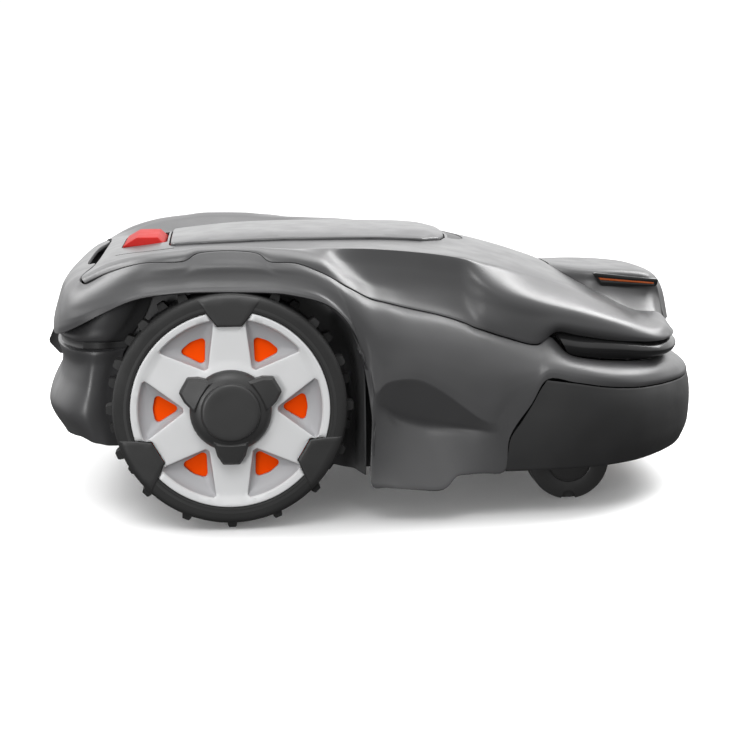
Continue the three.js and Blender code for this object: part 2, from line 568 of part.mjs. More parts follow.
const TUB_PLAN = [
  [198, 0], [198, 84], [146, 92], [140, 205], [128, 214], [-30, 214], [-36, 204], [-46, 197], [-252, 197],
  [-268, 180], [-272, 140], [-272, 0],
];
const TRAY_PLAN = [[310, 0], [310, 58], [290, 74], [150, 74], [150, 0]];
const LID_PLAN = [
  [198, 0], [198, 98], [250, 100], [252, 150], [238, 178], [190, 190], [150, 202], [128, 212], [-30, 212],
  [-46, 196], [-252, 196], [-267, 179], [-271, 139], [-271, 0],
];
const TRAY_TOP = 136;
const BATTERY = { low: [-235, -72, 60], high: [-95, 72, 118] };
const ROD_REACH = 62; // from the disc centre to each guide rod and to the lifting screw
const ROD = { radius: 4, low: WELL.roof + 4 + GAP, high: TUB_TOP - GAP };

// The same plan outline drawn in by a wall.
const inset = (plan, wall) =>
  plan.map(([x, y]) => [x - Math.sign(x) * wall, y > wall ? y - wall : y]);

function tub() {
  const outer = join(
    prism(bothSides(TUB_PLAN), FLOOR_Z, TUB_TOP),
    prism(bothSides(TRAY_PLAN), FLOOR_Z, TRAY_TOP),
  );
  const inner = prism(bothSides(inset(TUB_PLAN, 4)), FLOOR_Z + 4, TUB_TOP + 5);
  const tray = prism(bothSides([[306, 0], [306, 56], [288, 70], [202, 70], [202, 0]]), FLOOR_Z + 4, TUB_TOP + 5);
  const wellOuter = post(DISC.x, 0, FLOOR_Z, WELL.roof + 4, WELL.radius + 4, 30);
  const well = post(DISC.x, 0, FLOOR_Z - 5, WELL.roof, WELL.radius, 30);
  const motorHole = post(DISC.x, 0, WELL.roof - 5, WELL.roof + 10, 49, 24);
  const batteryDoor = box([-245, -82, FLOOR_Z - 5], [-90, 82, FLOOR_Z + 10]);
  const axles = crossBar(WHEEL.x, WHEEL.z, -220, 220, 14, 20);
  return cut(join(cut(outer, inner, tray), wellOuter), well, motorHole, batteryDoor, axles);
}

function lid() {
  const plate = prism(bothSides(LID_PLAN), TUB_TOP + GAP, TUB_TOP + 4);
  const towers = [-1, 1].map((s) => post(CASTER.x, s * CASTER.y, 108, TUB_TOP + 2, 17, 20));
  const bores = [-1, 1].map((s) => post(CASTER.x, s * CASTER.y, 100, TUB_TOP - 6, 9.5, 20));
  return cut(join(plate, ...towers), ...bores);
}

// A bar across the lid with a post at each end that carries the shell.
function shellCarrier(x, top) {
  const bar = box([x - 14, -150, TUB_TOP + 4 + GAP], [x + 14, 150, TUB_TOP + 10]);
  const posts = [-1, 1].map((s) => post(x, s * 145, TUB_TOP + 8, top, 15, 20, 8));
  return join(bar, ...posts);
}

// ---- Casters --------------------------------------------------------------------------------

function casterFork(side) {
  const { x, y, trail, radius } = CASTER;
  const cy = side * y;
  const stem = post(x, cy, 96, 150, 8);
  const crown = post(x, cy, 92, 107, 15);
  const arm = box([x - trail - 9, cy - 5, radius - 9], [x + 12, cy + 5, 96]);
  const bore = crossBar(x - trail, radius, cy - 20, cy + 20, 4.3, 16);
  return cut(join(stem, crown, arm), bore);
}

// Two discs joined through the middle by a sleeve on which they turn as one.
function casterWheel(side) {
  const { x, y, trail, radius, width } = CASTER;
  const cy = side * y;
  const disc = (low, high) => {
    const round = crossBar(x - trail, radius, low, high, radius, 28);
    const bore = crossBar(x - trail, radius, low - 5, high + 5, 3.2, 16);
    return cut(round, bore);
  };
  const half = width / 2;
  const outer = disc(cy - half, cy - 6);
  const inner = disc(cy + 6, cy + half);
  const sleeve = cut(
    crossBar(x - trail, radius, cy - 8, cy + 8, 4, 16),
    crossBar(x - trail, radius, cy - 20, cy + 20, 3.2, 16),
  );
  return join(outer, inner, sleeve);
}

const casterAxle = (side) =>
  crossBar(CASTER.x - CASTER.trail, CASTER.radius, side * CASTER.y - 15, side * CASTER.y + 15, 3, 16);

// ---- Cutting system -------------------------------------------------------------------------

const bladeDisc = () =>
  cut(
    join(
      post(DISC.x, 0, DISC.z, DISC.z + DISC.thickness, DISC.radius, 48),
      post(DISC.x, 0, DISC.z + DISC.thickness, 49.5, 16),
    ),
    post(DISC.x, 0, 30, 60, 4, 16),
  );

// A straight blade that hangs under the disc from its screw.
const BLADE = { pivot: 80, reach: 40, half: 9, low: 41.2, high: 42.2 };
function blade(angle) {
  const { pivot, reach, half, low, high } = BLADE;
  const plan = [[pivot - 8, -half], [pivot + reach - 6, -half], [pivot + reach, -half + 3], [pivot + reach, half - 3], [pivot + reach - 6, half], [pivot - 8, half]];
  const made = cut(prism(plan, low, high), post(pivot, 0, low - 5, high + 5, 3.4, 16));
  return made.rotateZ(angle).translate(DISC.x, 0, 0);
}

const bladeScrew = (angle) =>
  join(post(BLADE.pivot, 0, 38.6, 40.9, 6, 16), post(BLADE.pivot, 0, 40.5, DISC.z - GAP, 3, 16))
    .rotateZ(angle)
    .translate(DISC.x, 0, 0);

const skidPlate = () =>
  join(
    turned([[0, 28], [60, 28], [78, 33], [78, 35.5], [59, 31], [0, 31]], 36).translate(DISC.x, 0, 0),
    post(DISC.x, 0, 30, DISC.z - GAP, 13, 24),
  );

const cuttingMotor = () =>
  join(
    post(DISC.x, 0, 56, 124, 42, 32),
    post(DISC.x, 0, 50, 58, 30, 32),
  );

const deckBracket = () =>
  cut(
    prism(
      [[-ROD_REACH - 12, -10], [-40, -48], [-14, -ROD_REACH - 12], [14, -ROD_REACH - 12], [40, -48], [ROD_REACH + 12, -10], [ROD_REACH + 12, 10], [40, 48], [-40, 48], [-ROD_REACH - 12, 10]],
      114,
      120,
    ).translate(DISC.x, 0, 0),
    post(DISC.x, 0, 100, 140, 42.4, 32),
    ...[[-ROD_REACH, 0], [ROD_REACH, 0], [0, -ROD_REACH]].map(([x, y]) =>
      post(DISC.x + x, y, 100, 140, ROD.radius + 0.5, 16),
    ),
  );

// ---- Assembly -------------------------------------------------------------------------------

const mower = new THREE.Group();
mower.name = "robotic_lawn_mower";

function add(name, geometry, material, parent = mower) {
  const mesh = new THREE.Mesh(geometry, material);
  mesh.name = name;
  parent.add(mesh);
  return mesh;
}

const SIDES = [["right", -1], ["left", 1]];

add("hood", hood(), hoodGrey);
add("side_shell", sideShell(), shellGrey);
add("rear_cowl", rearCowl(), shellGrey);
add("front_bumper", bumper(), bumperBlack);
add("nose_module", nose(), shellGrey);
add("hatch", hatch(), hoodGrey);
add("status_light", ledWindow(), smokedLens);
add("stop_button", stopButton(), stopRed);
add("tail_fin", tailFin(), bumperBlack);

for (const [name, side] of SIDES) {
  add(`headlight_lens_${name}`, lens(side), smokedLens);
  add(`sensor_visor_${name}`, visor(side), glossBlack);
}

// Control panel under the hatch.
add("control_panel", controlPanel(), chassisBlack);
add("display_window", box([-40, -38, PANEL_Z + GAP], [20, 38, PANEL_Z + 2.5]), glossBlack);
add("jog_knob", post(-95, 0, PANEL_Z + GAP, PANEL_Z + 13, 19, 32, 17), capGrey);
add("start_button", post(-150, 0, PANEL_Z - 8, PANEL_Z + 6, 12, 24), accentOrange);

for (const [name, side] of SIDES) {
  add(`tyre_${name}`, onSide(tyre(), side, TYRE_FACE), tyreBlack);
  add(`tyre_clips_${name}`, onSide(tyreClips(), side, TYRE_FACE + 1), bumperBlack);
  add(`rim_${name}`, onSide(rim(), side, TYRE_FACE), rimSilver);
  add(`accent_disc_${name}`, onSide(accentDisc(), side, TYRE_FACE), accentOrange);
  add(`hub_cap_${name}`, onSide(hubCap(), side, HUB_CAP_FACE - 10), capGrey);
  const axle = side < 0 ? [-261, -198] : [198, 261];
  add(`drive_axle_${name}`, crossBar(WHEEL.x, WHEEL.z, ...axle, 8), steel);
  const motor = side < 0 ? [-192.5, -90] : [90, 192.5];
  add(`drive_motor_${name}`, crossBar(WHEEL.x, WHEEL.z, ...motor, 30, 28), steel);
  add(`caster_fork_${name}`, casterFork(side), chassisBlack);
  add(`caster_wheel_${name}`, casterWheel(side), capGrey);
  add(`caster_axle_${name}`, casterAxle(side), steel);
  add(`charging_contact_${name}`, box([248, side * 40 - 14, FLOOR_Z - 3.3], [302, side * 40 + 14, FLOOR_Z - GAP]), copper);
}

add("chassis_tub", tub(), chassisBlack);
add("chassis_lid", lid(), chassisBlack);
add("shell_carrier_front", shellCarrier(150, 238), chassisBlack);
add("shell_carrier_rear", shellCarrier(-254, 254), chassisBlack);
add("battery_pack", box(BATTERY.low, BATTERY.high), batteryBlue);
add("battery_door", box([-244.5, -81.5, FLOOR_Z], [-90.5, 81.5, FLOOR_Z + 4]), chassisBlack);
add("circuit_board", box([-225, -80, 140], [-50, 80, 142]), boardGreen);

for (let k = 0; k < 3; k++) {
  const angle = (k * TAU) / 3 + Math.PI / 6;
  add(`blade_${k + 1}`, blade(angle), steel);
  add(`blade_screw_${k + 1}`, bladeScrew(angle), steel);
}
add("blade_disc", bladeDisc(), capGrey);
add("skid_plate", skidPlate(), chassisBlack);
add("cutting_motor", cuttingMotor(), steel);
add("deck_bracket", deckBracket(), chassisBlack);
add("guide_rod_front", post(DISC.x + ROD_REACH, 0, ROD.low, ROD.high, ROD.radius, 16), steel);
add("guide_rod_rear", post(DISC.x - ROD_REACH, 0, ROD.low, ROD.high, ROD.radius, 16), steel);
add("height_screw", post(DISC.x, -ROD_REACH, ROD.low, 146, ROD.radius, 16), steel);
add("height_motor", post(DISC.x, -ROD_REACH, 147, TUB_TOP - GAP, 16, 24), steel);

export default mower;
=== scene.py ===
"""Robotic lawn mower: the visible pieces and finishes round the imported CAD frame.

X is forward, Y is to the left and Z is up. Lengths are millimetres up to make_object, which turns
them into metres. Lights and the camera are given in metres.
"""

import json
import math

import bmesh
import bpy
import numpy as np
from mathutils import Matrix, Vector, geometry
from mathutils.bvhtree import BVHTree

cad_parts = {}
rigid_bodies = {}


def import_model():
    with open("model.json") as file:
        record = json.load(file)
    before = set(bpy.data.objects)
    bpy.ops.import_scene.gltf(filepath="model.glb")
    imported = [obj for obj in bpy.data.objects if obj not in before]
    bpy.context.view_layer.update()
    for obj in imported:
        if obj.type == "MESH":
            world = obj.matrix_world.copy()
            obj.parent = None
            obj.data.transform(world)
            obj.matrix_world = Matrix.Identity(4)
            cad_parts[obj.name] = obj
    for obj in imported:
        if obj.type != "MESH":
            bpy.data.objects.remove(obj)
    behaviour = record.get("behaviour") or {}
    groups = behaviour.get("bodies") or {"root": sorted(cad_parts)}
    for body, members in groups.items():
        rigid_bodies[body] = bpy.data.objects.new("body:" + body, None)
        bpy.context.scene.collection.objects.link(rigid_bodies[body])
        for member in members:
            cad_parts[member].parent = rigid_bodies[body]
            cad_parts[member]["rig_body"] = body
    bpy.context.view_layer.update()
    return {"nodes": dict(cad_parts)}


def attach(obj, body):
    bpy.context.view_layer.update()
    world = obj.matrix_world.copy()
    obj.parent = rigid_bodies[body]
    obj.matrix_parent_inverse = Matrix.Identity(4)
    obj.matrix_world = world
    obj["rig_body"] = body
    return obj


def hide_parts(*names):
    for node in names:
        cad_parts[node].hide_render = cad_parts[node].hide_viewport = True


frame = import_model()

MM = 0.001
WHEEL_X, WHEEL_Z = -165.0, 125.0  # the drive axle
CASTER_X, CASTER_Y, CASTER_Z = 203, 155, 44  # the middle of a caster wheel
TYRE_FACE, CAP_BASE = 264.0, 269.0  # distance out from the centre line
SKIN = 3  # wall of the moulded covers
SIDES = (("right", -1), ("left", 1))

# ---- Curves and sheets ----------------------------------------------------------------------

MOST_STEPS = 12


def spline(p, counts, loop=False):
    """Centripetal Catmull-Rom through p, an (n, m, 3) array of m curves, with counts steps per span."""
    if loop:
        q = np.concatenate([p[-1:], p, p[:2]])
    else:
        q = np.concatenate([2 * p[:1] - p[1:2], p, 2 * p[-1:] - p[-2:-1]])
    made = []
    for i, steps in enumerate(counts):
        a, b, c, d = q[i : i + 4]
        k1, k2, k3 = (
            np.maximum(np.linalg.norm(v - u, axis=-1, keepdims=True) ** 0.5, 1e-3)
            for u, v in ((a, b), (b, c), (c, d))
        )
        k2, k3 = k1 + k2, k1 + k2 + k3
        for s in range(steps):
            k = k1 + (k2 - k1) * s / steps
            ab = a + (b - a) * k / k1
            bc = b + (c - b) * (k - k1) / (k2 - k1)
            cd = c + (d - c) * (k - k2) / (k3 - k2)
            abc = ab + (bc - ab) * k / k2
            bcd = bc + (cd - bc) * (k - k1) / (k3 - k1)
            made.append(abc + (bcd - abc) * (k - k1) / (k2 - k1))
    if not loop:
        made.append(p[-1])
    return np.array(made)


def steps_for(p, size, loop):
    """How many steps each span of the curves p needs for steps of about size."""
    q = np.concatenate([p, p[:1]]) if loop else p
    longest = np.linalg.norm(q[1:] - q[:-1], axis=-1).max(axis=1)
    return np.clip(np.ceil(longest / size), 1, MOST_STEPS).astype(int)


def sheet(net, size=(6, 4), loop=False):
    """A smooth grid of points through a net of stations, each a list of [x, y, z] at the same rows."""
    net = np.array(net, float)
    rows = net.transpose(1, 0, 2)
    rows = spline(rows, steps_for(rows, size[1], False))
    cols = rows.transpose(1, 0, 2)
    return spline(cols, steps_for(net, size[0], loop), loop)


def mirrored(station):
    return [[x, -y, z] for x, y, z in station]


def cut(x, *points):
    """A net's station that lies square across the mower, from its (y, z) points."""
    return [[x, y, z] for y, z in points]


def around(half, loop=False):
    """Half cross-sections on the left, made whole: up the right side and back down the left."""
    left = half[1:-1] if loop else half[:-1]
    return [mirrored(s) for s in half] + left[::-1]


def across(half):
    """Half cross-sections out from the centre line, made whole from right to left."""
    return [mirrored(s)[::-1] + s[1:] for s in half]


def grid_normals(grid, towards, loop):
    """Unit normals of a grid of points, on the side away from the point towards."""
    if loop:
        along = np.roll(grid, -1, 0) - np.roll(grid, 1, 0)
    else:
        along = np.gradient(grid, axis=0)
    over = np.gradient(grid, axis=1)
    n = np.cross(along, over)
    n /= np.maximum(np.linalg.norm(n, axis=-1, keepdims=True), 1e-9)
    facing = np.sign(((grid - np.array(towards)) * n).sum(-1).sum())
    return n * facing


# ---- Objects --------------------------------------------------------------------------------


def make_object(name, verts, faces, smooth=35):
    """A mesh object from points in millimetres, with its normals facing out."""
    mesh = bpy.data.meshes.new(name)
    mesh.from_pydata((np.asarray(verts) * MM).tolist(), [], [list(map(int, f)) for f in faces])
    obj = bpy.data.objects.new(name, mesh)
    bpy.context.scene.collection.objects.link(obj)
    tidy_mesh(obj, smooth)
    return obj


def tidy_mesh(obj, smooth=35, weld=2e-6):
    """Welds doubles, turns faces out and shades smooth apart from edges over smooth degrees."""
    bm = bmesh.new()
    bm.from_mesh(obj.data)
    bmesh.ops.remove_doubles(bm, verts=bm.verts, dist=weld)
    bmesh.ops.dissolve_degenerate(bm, edges=bm.edges, dist=1e-7)
    bmesh.ops.recalc_face_normals(bm, faces=bm.faces)
    bm.to_mesh(obj.data)
    bm.free()
    obj.data.shade_smooth()
    obj.data.set_sharp_from_angle(angle=math.radians(smooth))


def apply_modifiers(obj):
    """Replaces a piece's mesh by what its modifiers make of it."""
    deps = bpy.context.evaluated_depsgraph_get()
    made = bpy.data.meshes.new_from_object(obj.evaluated_get(deps))
    old = obj.data
    obj.modifiers.clear()
    obj.data = made
    made.name = old.name
    bpy.data.meshes.remove(old)


def modify(obj, kind, smooth=35, **settings):
    """Adds one modifier with settings and applies it."""
    m = obj.modifiers.new(kind.lower(), kind)
    for key, value in settings.items():
        setattr(m, key, value)
    apply_modifiers(obj)
    tidy_mesh(obj, smooth)


def carve(obj, cutter):
    """Cuts the space of cutter out of a piece, and removes cutter."""
    modify(obj, "BOOLEAN", operation="DIFFERENCE", solver="EXACT", object=cutter)
    bpy.data.objects.remove(cutter)


def bevel(obj, width, segments=2, smooth=40, **settings):
    """Rounds a piece's sharp edges over by width millimetres."""
    modify(obj, "BEVEL", smooth, width=width * MM, segments=segments, limit_method="ANGLE", **settings)


def join(name, objects, smooth=35):
    """One piece from several."""
    base = objects[0]
    with bpy.context.temp_override(active_object=base, selected_editable_objects=objects):
        bpy.ops.object.join()
    base.name = name
    base.data.name = name
    base.data.set_sharp_from_angle(angle=math.radians(smooth))
    return base


def shell(name, grid, wall, loop=False, towards=(0, 0, 150), edge=0.7, smooth=35):
    """A closed wall from a grid of points, thickened towards a point, its long edges rounded over."""
    n = grid_normals(grid, towards, loop)
    rows_in, rows_n = [], []
    for end, step in ((0, 1), (-1, -1)):
        run = grid[:, end + step] - grid[:, end]
        run /= np.maximum(np.linalg.norm(run, axis=-1, keepdims=True), 1e-6)
        falls = ((0, edge), (0.3 * edge, 0.3 * edge), (edge, 0))
        rows_in.append([grid[:, end] + run * along - n[:, end] * drop for along, drop in falls])
        rows_n.append([n[:, end]] * 3)
    outer = np.stack([*rows_in[0], *grid[:, 1:-1].transpose(1, 0, 2), *rows_in[1][::-1]], axis=1)
    normal = np.stack([*rows_n[0], *n[:, 1:-1].transpose(1, 0, 2), *rows_n[1][::-1]], axis=1)
    inner = outer - normal * wall
    c, r = outer.shape[:2]
    verts = np.concatenate([outer.reshape(-1, 3), inner.reshape(-1, 3)])
    idx = np.arange(c * r).reshape(c, r)
    if loop:
        idx = np.concatenate([idx, idx[:1]])
    a, b, d, e = idx[:-1, :-1], idx[1:, :-1], idx[1:, 1:], idx[:-1, 1:]
    top = np.stack([a, b, d, e], -1).reshape(-1, 4)
    faces = [*top, *(top[:, ::-1] + c * r)]
    for line in (idx[:, 0], idx[:, -1]) + (() if loop else (idx[0], idx[-1])):
        faces += [[p, q, q + c * r, p + c * r] for p, q in zip(line[:-1], line[1:])]
    return make_object(name, verts, faces, smooth)


# ---- Flat outlines --------------------------------------------------------------------------


def polar(radius, degrees):
    a = math.radians(degrees)
    return [radius * math.cos(a), radius * math.sin(a)]


def rounded(points, radius, steps=5):
    """The outline with each corner rounded; radius may be one number or one for each corner."""
    pts = [np.array(p, float) for p in points]
    radii = radius if isinstance(radius, (list, tuple)) else [radius] * len(pts)
    made = []
    for i, p in enumerate(pts):
        u, v = pts[i - 1] - p, pts[(i + 1) % len(pts)] - p
        lu, lv = np.linalg.norm(u), np.linalg.norm(v)
        u, v = u / lu, v / lv
        half = math.acos(max(-1, min(1, float(u @ v)))) / 2
        reach = min(radii[i] / math.tan(half), 0.45 * lu, 0.45 * lv)
        if radii[i] <= 0 or math.pi / 2 - half < 0.02:
            made.append(p)
            continue
        r = reach * math.tan(half)
        middle = (u + v) / np.linalg.norm(u + v) * r / math.sin(half)
        start, end = u * reach - middle, v * reach - middle
        sweep = math.acos(max(-1, min(1, float(start @ end) / r**2)))
        for s in range(steps + 1):
            t = s / steps
            w = (math.sin((1 - t) * sweep) * start + math.sin(t * sweep) * end) / math.sin(sweep)
            made.append(p + middle + w)
    return np.array(made)


def evenly(outline, spacing):
    """A closed outline with points added so that no side is much longer than spacing."""
    made = []
    for a, b in zip(outline, np.roll(outline, -1, 0)):
        n = max(1, round(np.linalg.norm(b - a) / spacing))
        made += [a + (b - a) * k / n for k in range(n)]
    return np.array(made)


def inside(points, outline):
    """Which points lie inside a closed outline."""
    x, y = points[:, 0:1], points[:, 1:2]
    ax, ay = outline[:, 0], outline[:, 1]
    bx, by = np.roll(ax, -1), np.roll(ay, -1)
    crosses = (ay > y) != (by > y)
    with np.errstate(divide="ignore", invalid="ignore"):
        at = ax + (y - ay) * (bx - ax) / (by - ay)
    return (crosses & (x < at)).sum(1) % 2 == 1


def edge_distance(points, outlines):
    """Each point's distance to the nearest of several closed outlines."""
    best = np.full(len(points), 1e9)
    for outline in outlines:
        for a, b in zip(outline, np.roll(outline, -1, 0)):
            ab = b - a
            t = np.clip(((points - a) @ ab) / max(ab @ ab, 1e-12), 0, 1)
            best = np.minimum(best, np.linalg.norm(points - a - t[:, None] * ab, axis=1))
    return best


def fill(outline, holes=(), spacing=5.0, rings=(0.5, 1.2, 2.4)):
    """Triangles over a flat outline with holes: (points, triangles, loops of point numbers, distances)."""
    loops, points, edges = [], [], []
    for line in (outline, *holes):
        start = len(points)
        points += [tuple(p) for p in line]
        loop = list(range(start, len(points)))
        edges += list(zip(loop, loop[1:] + loop[:1]))
        loops.append(loop)
    lines = [np.asarray(x, float) for x in (outline, *holes)]
    lo, hi = lines[0].min(0), lines[0].max(0)
    xs, ys = np.arange(lo[0], hi[0], spacing), np.arange(lo[1], hi[1], spacing * 0.87)
    grid = np.array([[x + (j % 2) * spacing / 2, y] for j, y in enumerate(ys) for x in xs])
    extra = [grid[edge_distance(grid, lines) > max([0, *rings]) + spacing * 0.4]] if len(grid) else []
    for d in rings:
        for line in lines:
            side = np.roll(line, -1, 0) - np.roll(line, 1, 0)
            side /= np.maximum(np.linalg.norm(side, axis=1, keepdims=True), 1e-9)
            normal = np.stack([-side[:, 1], side[:, 0]], 1)
            for sign in (1, -1):
                moved = line + normal * d * sign
                extra.append(moved[edge_distance(moved, lines) > d * 0.98])
    extra = np.concatenate(extra)
    keep = inside(extra, lines[0])
    for hole in lines[1:]:
        keep &= ~inside(extra, hole)
    points += [tuple(p) for p in extra[keep]]
    out = geometry.delaunay_2d_cdt([Vector(p) for p in points], edges, [], 0, 1e-5)
    made = np.array([tuple(v) for v in out[0]])
    back = {}
    for new, olds in enumerate(out[3]):
        for old in olds:
            back[old] = new
    tris = np.array([f for f in out[2] if len(f) == 3])
    middle = made[tris].mean(1)
    keep = inside(middle, lines[0])
    for hole in lines[1:]:
        keep &= ~inside(middle, hole)
    loops = [[back[i] for i in loop] for loop in loops]
    return made, tris[keep], loops, edge_distance(made, lines)


def panel(name, outline, height, wall, holes=(), spacing=5.0, rings=(0.5, 1.2, 2.4), smooth=40, turn=None):
    """A closed plate over an outline. height(points, edge distance) gives its top; turn places its points."""
    pts, tris, loops, d = fill(outline, holes, spacing, rings)
    top = np.column_stack([pts, height(pts, d)])
    low = top.copy()
    low[:, 2] = (top[:, 2] - wall) if np.isscalar(wall) else wall(pts)
    verts = np.concatenate([top, low])
    n = len(top)
    faces = [*tris, *(tris[:, ::-1] + n)]
    for loop in loops:
        faces += [[p, q, q + n, p + n] for p, q in zip(loop, loop[1:] + loop[:1])]
    return make_object(name, turn(verts) if turn else verts, faces, smooth)


def both_halves(half):
    """A whole plan outline from its left half, [x, y >= 0] points."""
    return np.array(half + [[x, -y] for x, y in half[::-1] if y > 0], float)


def prism(outline, low, high, turn=None):
    """A straight-sided block over an outline, used as a cutter or, turned into place, as a piece."""
    n = len(outline)
    verts = np.array([[*p, z] for z in (low, high) for p in outline], float)
    verts = turn(verts) if turn else verts
    faces = [list(range(n))[::-1], list(range(n, 2 * n))]
    faces += [[i, (i + 1) % n, (i + 1) % n + n, i + n] for i in range(n)]
    return make_object("cutter", verts, faces)


def smooth01(x):
    """A soft step from 0 to 1."""
    x = np.clip(x, 0, 1)
    return x * x * (3 - 2 * x)


def lathe(name, profile, sides=96, turn=None, smooth=40, closed=True):
    """A turned solid about Z from [radius, height] points, either a closed ring or ending on the axis."""
    p = np.array(profile, float)
    a = np.arange(sides) * 2 * math.pi / sides
    verts = np.stack(
        [p[:, 0, None] * np.cos(a), p[:, 0, None] * np.sin(a), np.repeat(p[:, 1, None], sides, 1)], -1
    ).reshape(-1, 3)
    faces = []
    spans = len(p) if closed else len(p) - 1
    for i in range(spans):
        low, high = i * sides, (i + 1) % len(p) * sides
        for k in range(sides):
            after = (k + 1) % sides
            faces.append([low + k, low + after, high + after, high + k])
    return make_object(name, turn(verts) if turn else verts, faces, smooth)


def curve_profile(points, size=1.2):
    """A smooth [radius, height] profile through points."""
    p = np.array([[[x, z, 0]] for x, z in points], float)
    return spline(p, steps_for(p, size, False))[:, 0, :2].tolist()


# ---- Nets of the moulded body, half of each, on the left side -------------------------------

# Hood: sections from the rear to the front, each from the centre line out to the seam.
HOOD = across([
    [
        [-301, 0, 262], [-301, 60, 262], [-302, 110, 261], [-305, 160, 259], [-310, 184, 256.5],
        [-313, 193, 254.3], [-313.5, 199, 252.5], [-312, 204, 250.8], [-309.5, 208, 248.6],
    ],
    [
        [-285, 0, 268], [-285, 60, 268], [-285, 110, 266], [-285, 165, 263], [-285, 190, 266],
        [-285, 204, 269], [-285, 213, 267.5], [-285.5, 219, 265], [-285.7, 223, 260.4],
    ],
    [
        [-250, 0, 274], [-250, 60, 273], [-250, 107, 269.5], [-250, 170, 264], [-250, 207, 275.5],
        [-250, 221, 278.5], [-250, 230, 276.8], [-250, 235, 274], [-250.3, 238, 271.5],
    ],
    cut(-208,
        (0, 279.5), (60, 278.5), (105, 273.5), (174, 264), (214, 280.5), (227, 283.6), (236, 281.2),
        (240.5, 278), (243, 273.9),
    ),
    cut(-195,
        (0, 281), (60, 280), (105, 274.3), (174, 264), (214, 282), (227, 285.4), (231.5, 284.2),
        (234.2, 282.6), (236, 280.8),
    ),
    cut(-136,
        (0, 287), (60, 285.7), (105, 278), (174, 265), (214, 282), (227, 285.1), (231.5, 283.6),
        (234.2, 282), (236, 280.2),
    ),
    cut(-124,
        (0, 288), (60, 286.5), (105, 278.6), (174, 266), (212, 281.3), (226, 284), (234.5, 281),
        (240, 276.5), (243, 272.3),
    ),
    cut(-97,
        (0, 289.8), (60, 287.8), (105, 279.8), (172, 270), (207, 281), (224, 281.5), (233, 277.5),
        (237.5, 274), (240, 270.1),
    ),
    cut(-68,
        (0, 290.7), (60, 288.3), (105, 280.2), (168, 275.5), (204, 281), (220, 275), (230, 269.5),
        (235, 264.5), (238, 258.5),
    ),
    cut(-58,
        (0, 290.8), (60, 288.4), (105, 280.3), (167, 276.5), (201.5, 280.6), (214, 271.5),
        (226, 264), (232.5, 258.5), (236.7, 252.9),
    ),
    cut(-48,
        (0, 290.9), (60, 288.4), (105, 280.4), (166, 277.2), (200, 280.3), (209, 268), (220, 258.5),
        (229.5, 252), (235, 246.9),
    ),
    cut(-38,
        (0, 290.9), (60, 288.4), (105, 280.4), (165, 277.8), (198.5, 280), (205, 265), (215, 254),
        (226, 246.5), (233, 241.4),
    ),
    cut(-20,
        (0, 290.9), (60, 288.3), (105, 280.4), (163, 278.4), (195.5, 279.2), (200.5, 262),
        (208.5, 247), (218, 238), (226, 231.5),
    ),
    cut(-2,
        (0, 290.6), (59, 287.9), (104, 280.1), (162, 278.2), (193, 277.8), (197.5, 260),
        (204.5, 243.5), (213.5, 234), (222.5, 226.4),
    ),
    cut(16,
        (0, 289.8), (58, 287.2), (103, 279.4), (160, 277.4), (191, 276.2), (195.3, 258),
        (201.5, 240.5), (210.5, 229.5), (219.5, 221.3),
    ),
    cut(53,
        (0, 286), (56, 284), (102, 276.8), (156, 274), (189.5, 272), (193.5, 252), (198.5, 235),
        (208, 221), (217, 212.3),
    ),
    cut(80,
        (0, 279.8), (52, 278.3), (100, 273.2), (153, 270.3), (188.5, 267.3), (193.5, 249),
        (198.3, 231), (206, 215), (215.8, 203.3),
    ),
    cut(88,
        (0, 277.6), (50, 276.4), (99.5, 271.8), (152, 268.7), (187.5, 265.2), (196.5, 247),
        (201.3, 228), (208, 212), (215.6, 199.3),
    ),
    cut(99,
        (0, 274.8), (49, 273.7), (99, 269.6), (150, 266), (184, 261.7), (201.3, 242.8),
        (206, 224.3), (212.5, 208), (215.2, 195.3),
    ),
    cut(123,
        (0, 269.2), (48, 268.4), (98, 265), (147, 260.8), (176, 255.5), (207.3, 231.5),
        (211.3, 213.5), (213.7, 199.5), (214.8, 187.3),
    ),
    cut(157,
        (0, 260), (48, 259.2), (95, 255.4), (132, 251), (161, 244.5), (207.5, 221.8), (211.5, 206),
        (213.2, 192), (213.3, 179.3),
    ),
    cut(179,
        (0, 253.2), (47, 252), (93, 247.6), (128, 243.8), (158, 238), (205.5, 216.7), (210, 206),
        (210.5, 197), (204, 190.2),
    ),
    cut(202,
        (0, 245), (46, 243.5), (90, 239), (124, 235.5), (155, 230.5), (202.5, 211.5), (207.5, 201),
        (208, 193), (201.5, 185.8),
    ),
    cut(245,
        (0, 222), (45, 221), (88, 219), (120, 216), (150, 212), (191.5, 200), (198, 191.5),
        (199, 184), (195.5, 178.5),
    ),
    [
        [290, 0, 202], [290, 45, 201], [290, 86, 199], [290, 113, 197], [290, 139, 194],
        [290, 171, 188], [289.5, 180.5, 183], [288, 184.5, 179], [286, 185.5, 175.5],
    ],
    [
        [318, 0, 199], [318, 45, 198], [318, 86, 196], [317.5, 107, 194], [316, 126, 190],
        [312.5, 149, 185.5], [309.5, 161, 181.3], [306.5, 169.5, 178], [303, 174, 175.2],
    ],
    [
        [336, 0, 177], [336, 45, 177], [335, 84, 177], [333, 100, 177], [331, 116, 176.8],
        [326, 134, 176.4], [322, 143, 176], [319, 149, 175.7], [316, 155, 175.4],
    ],
])

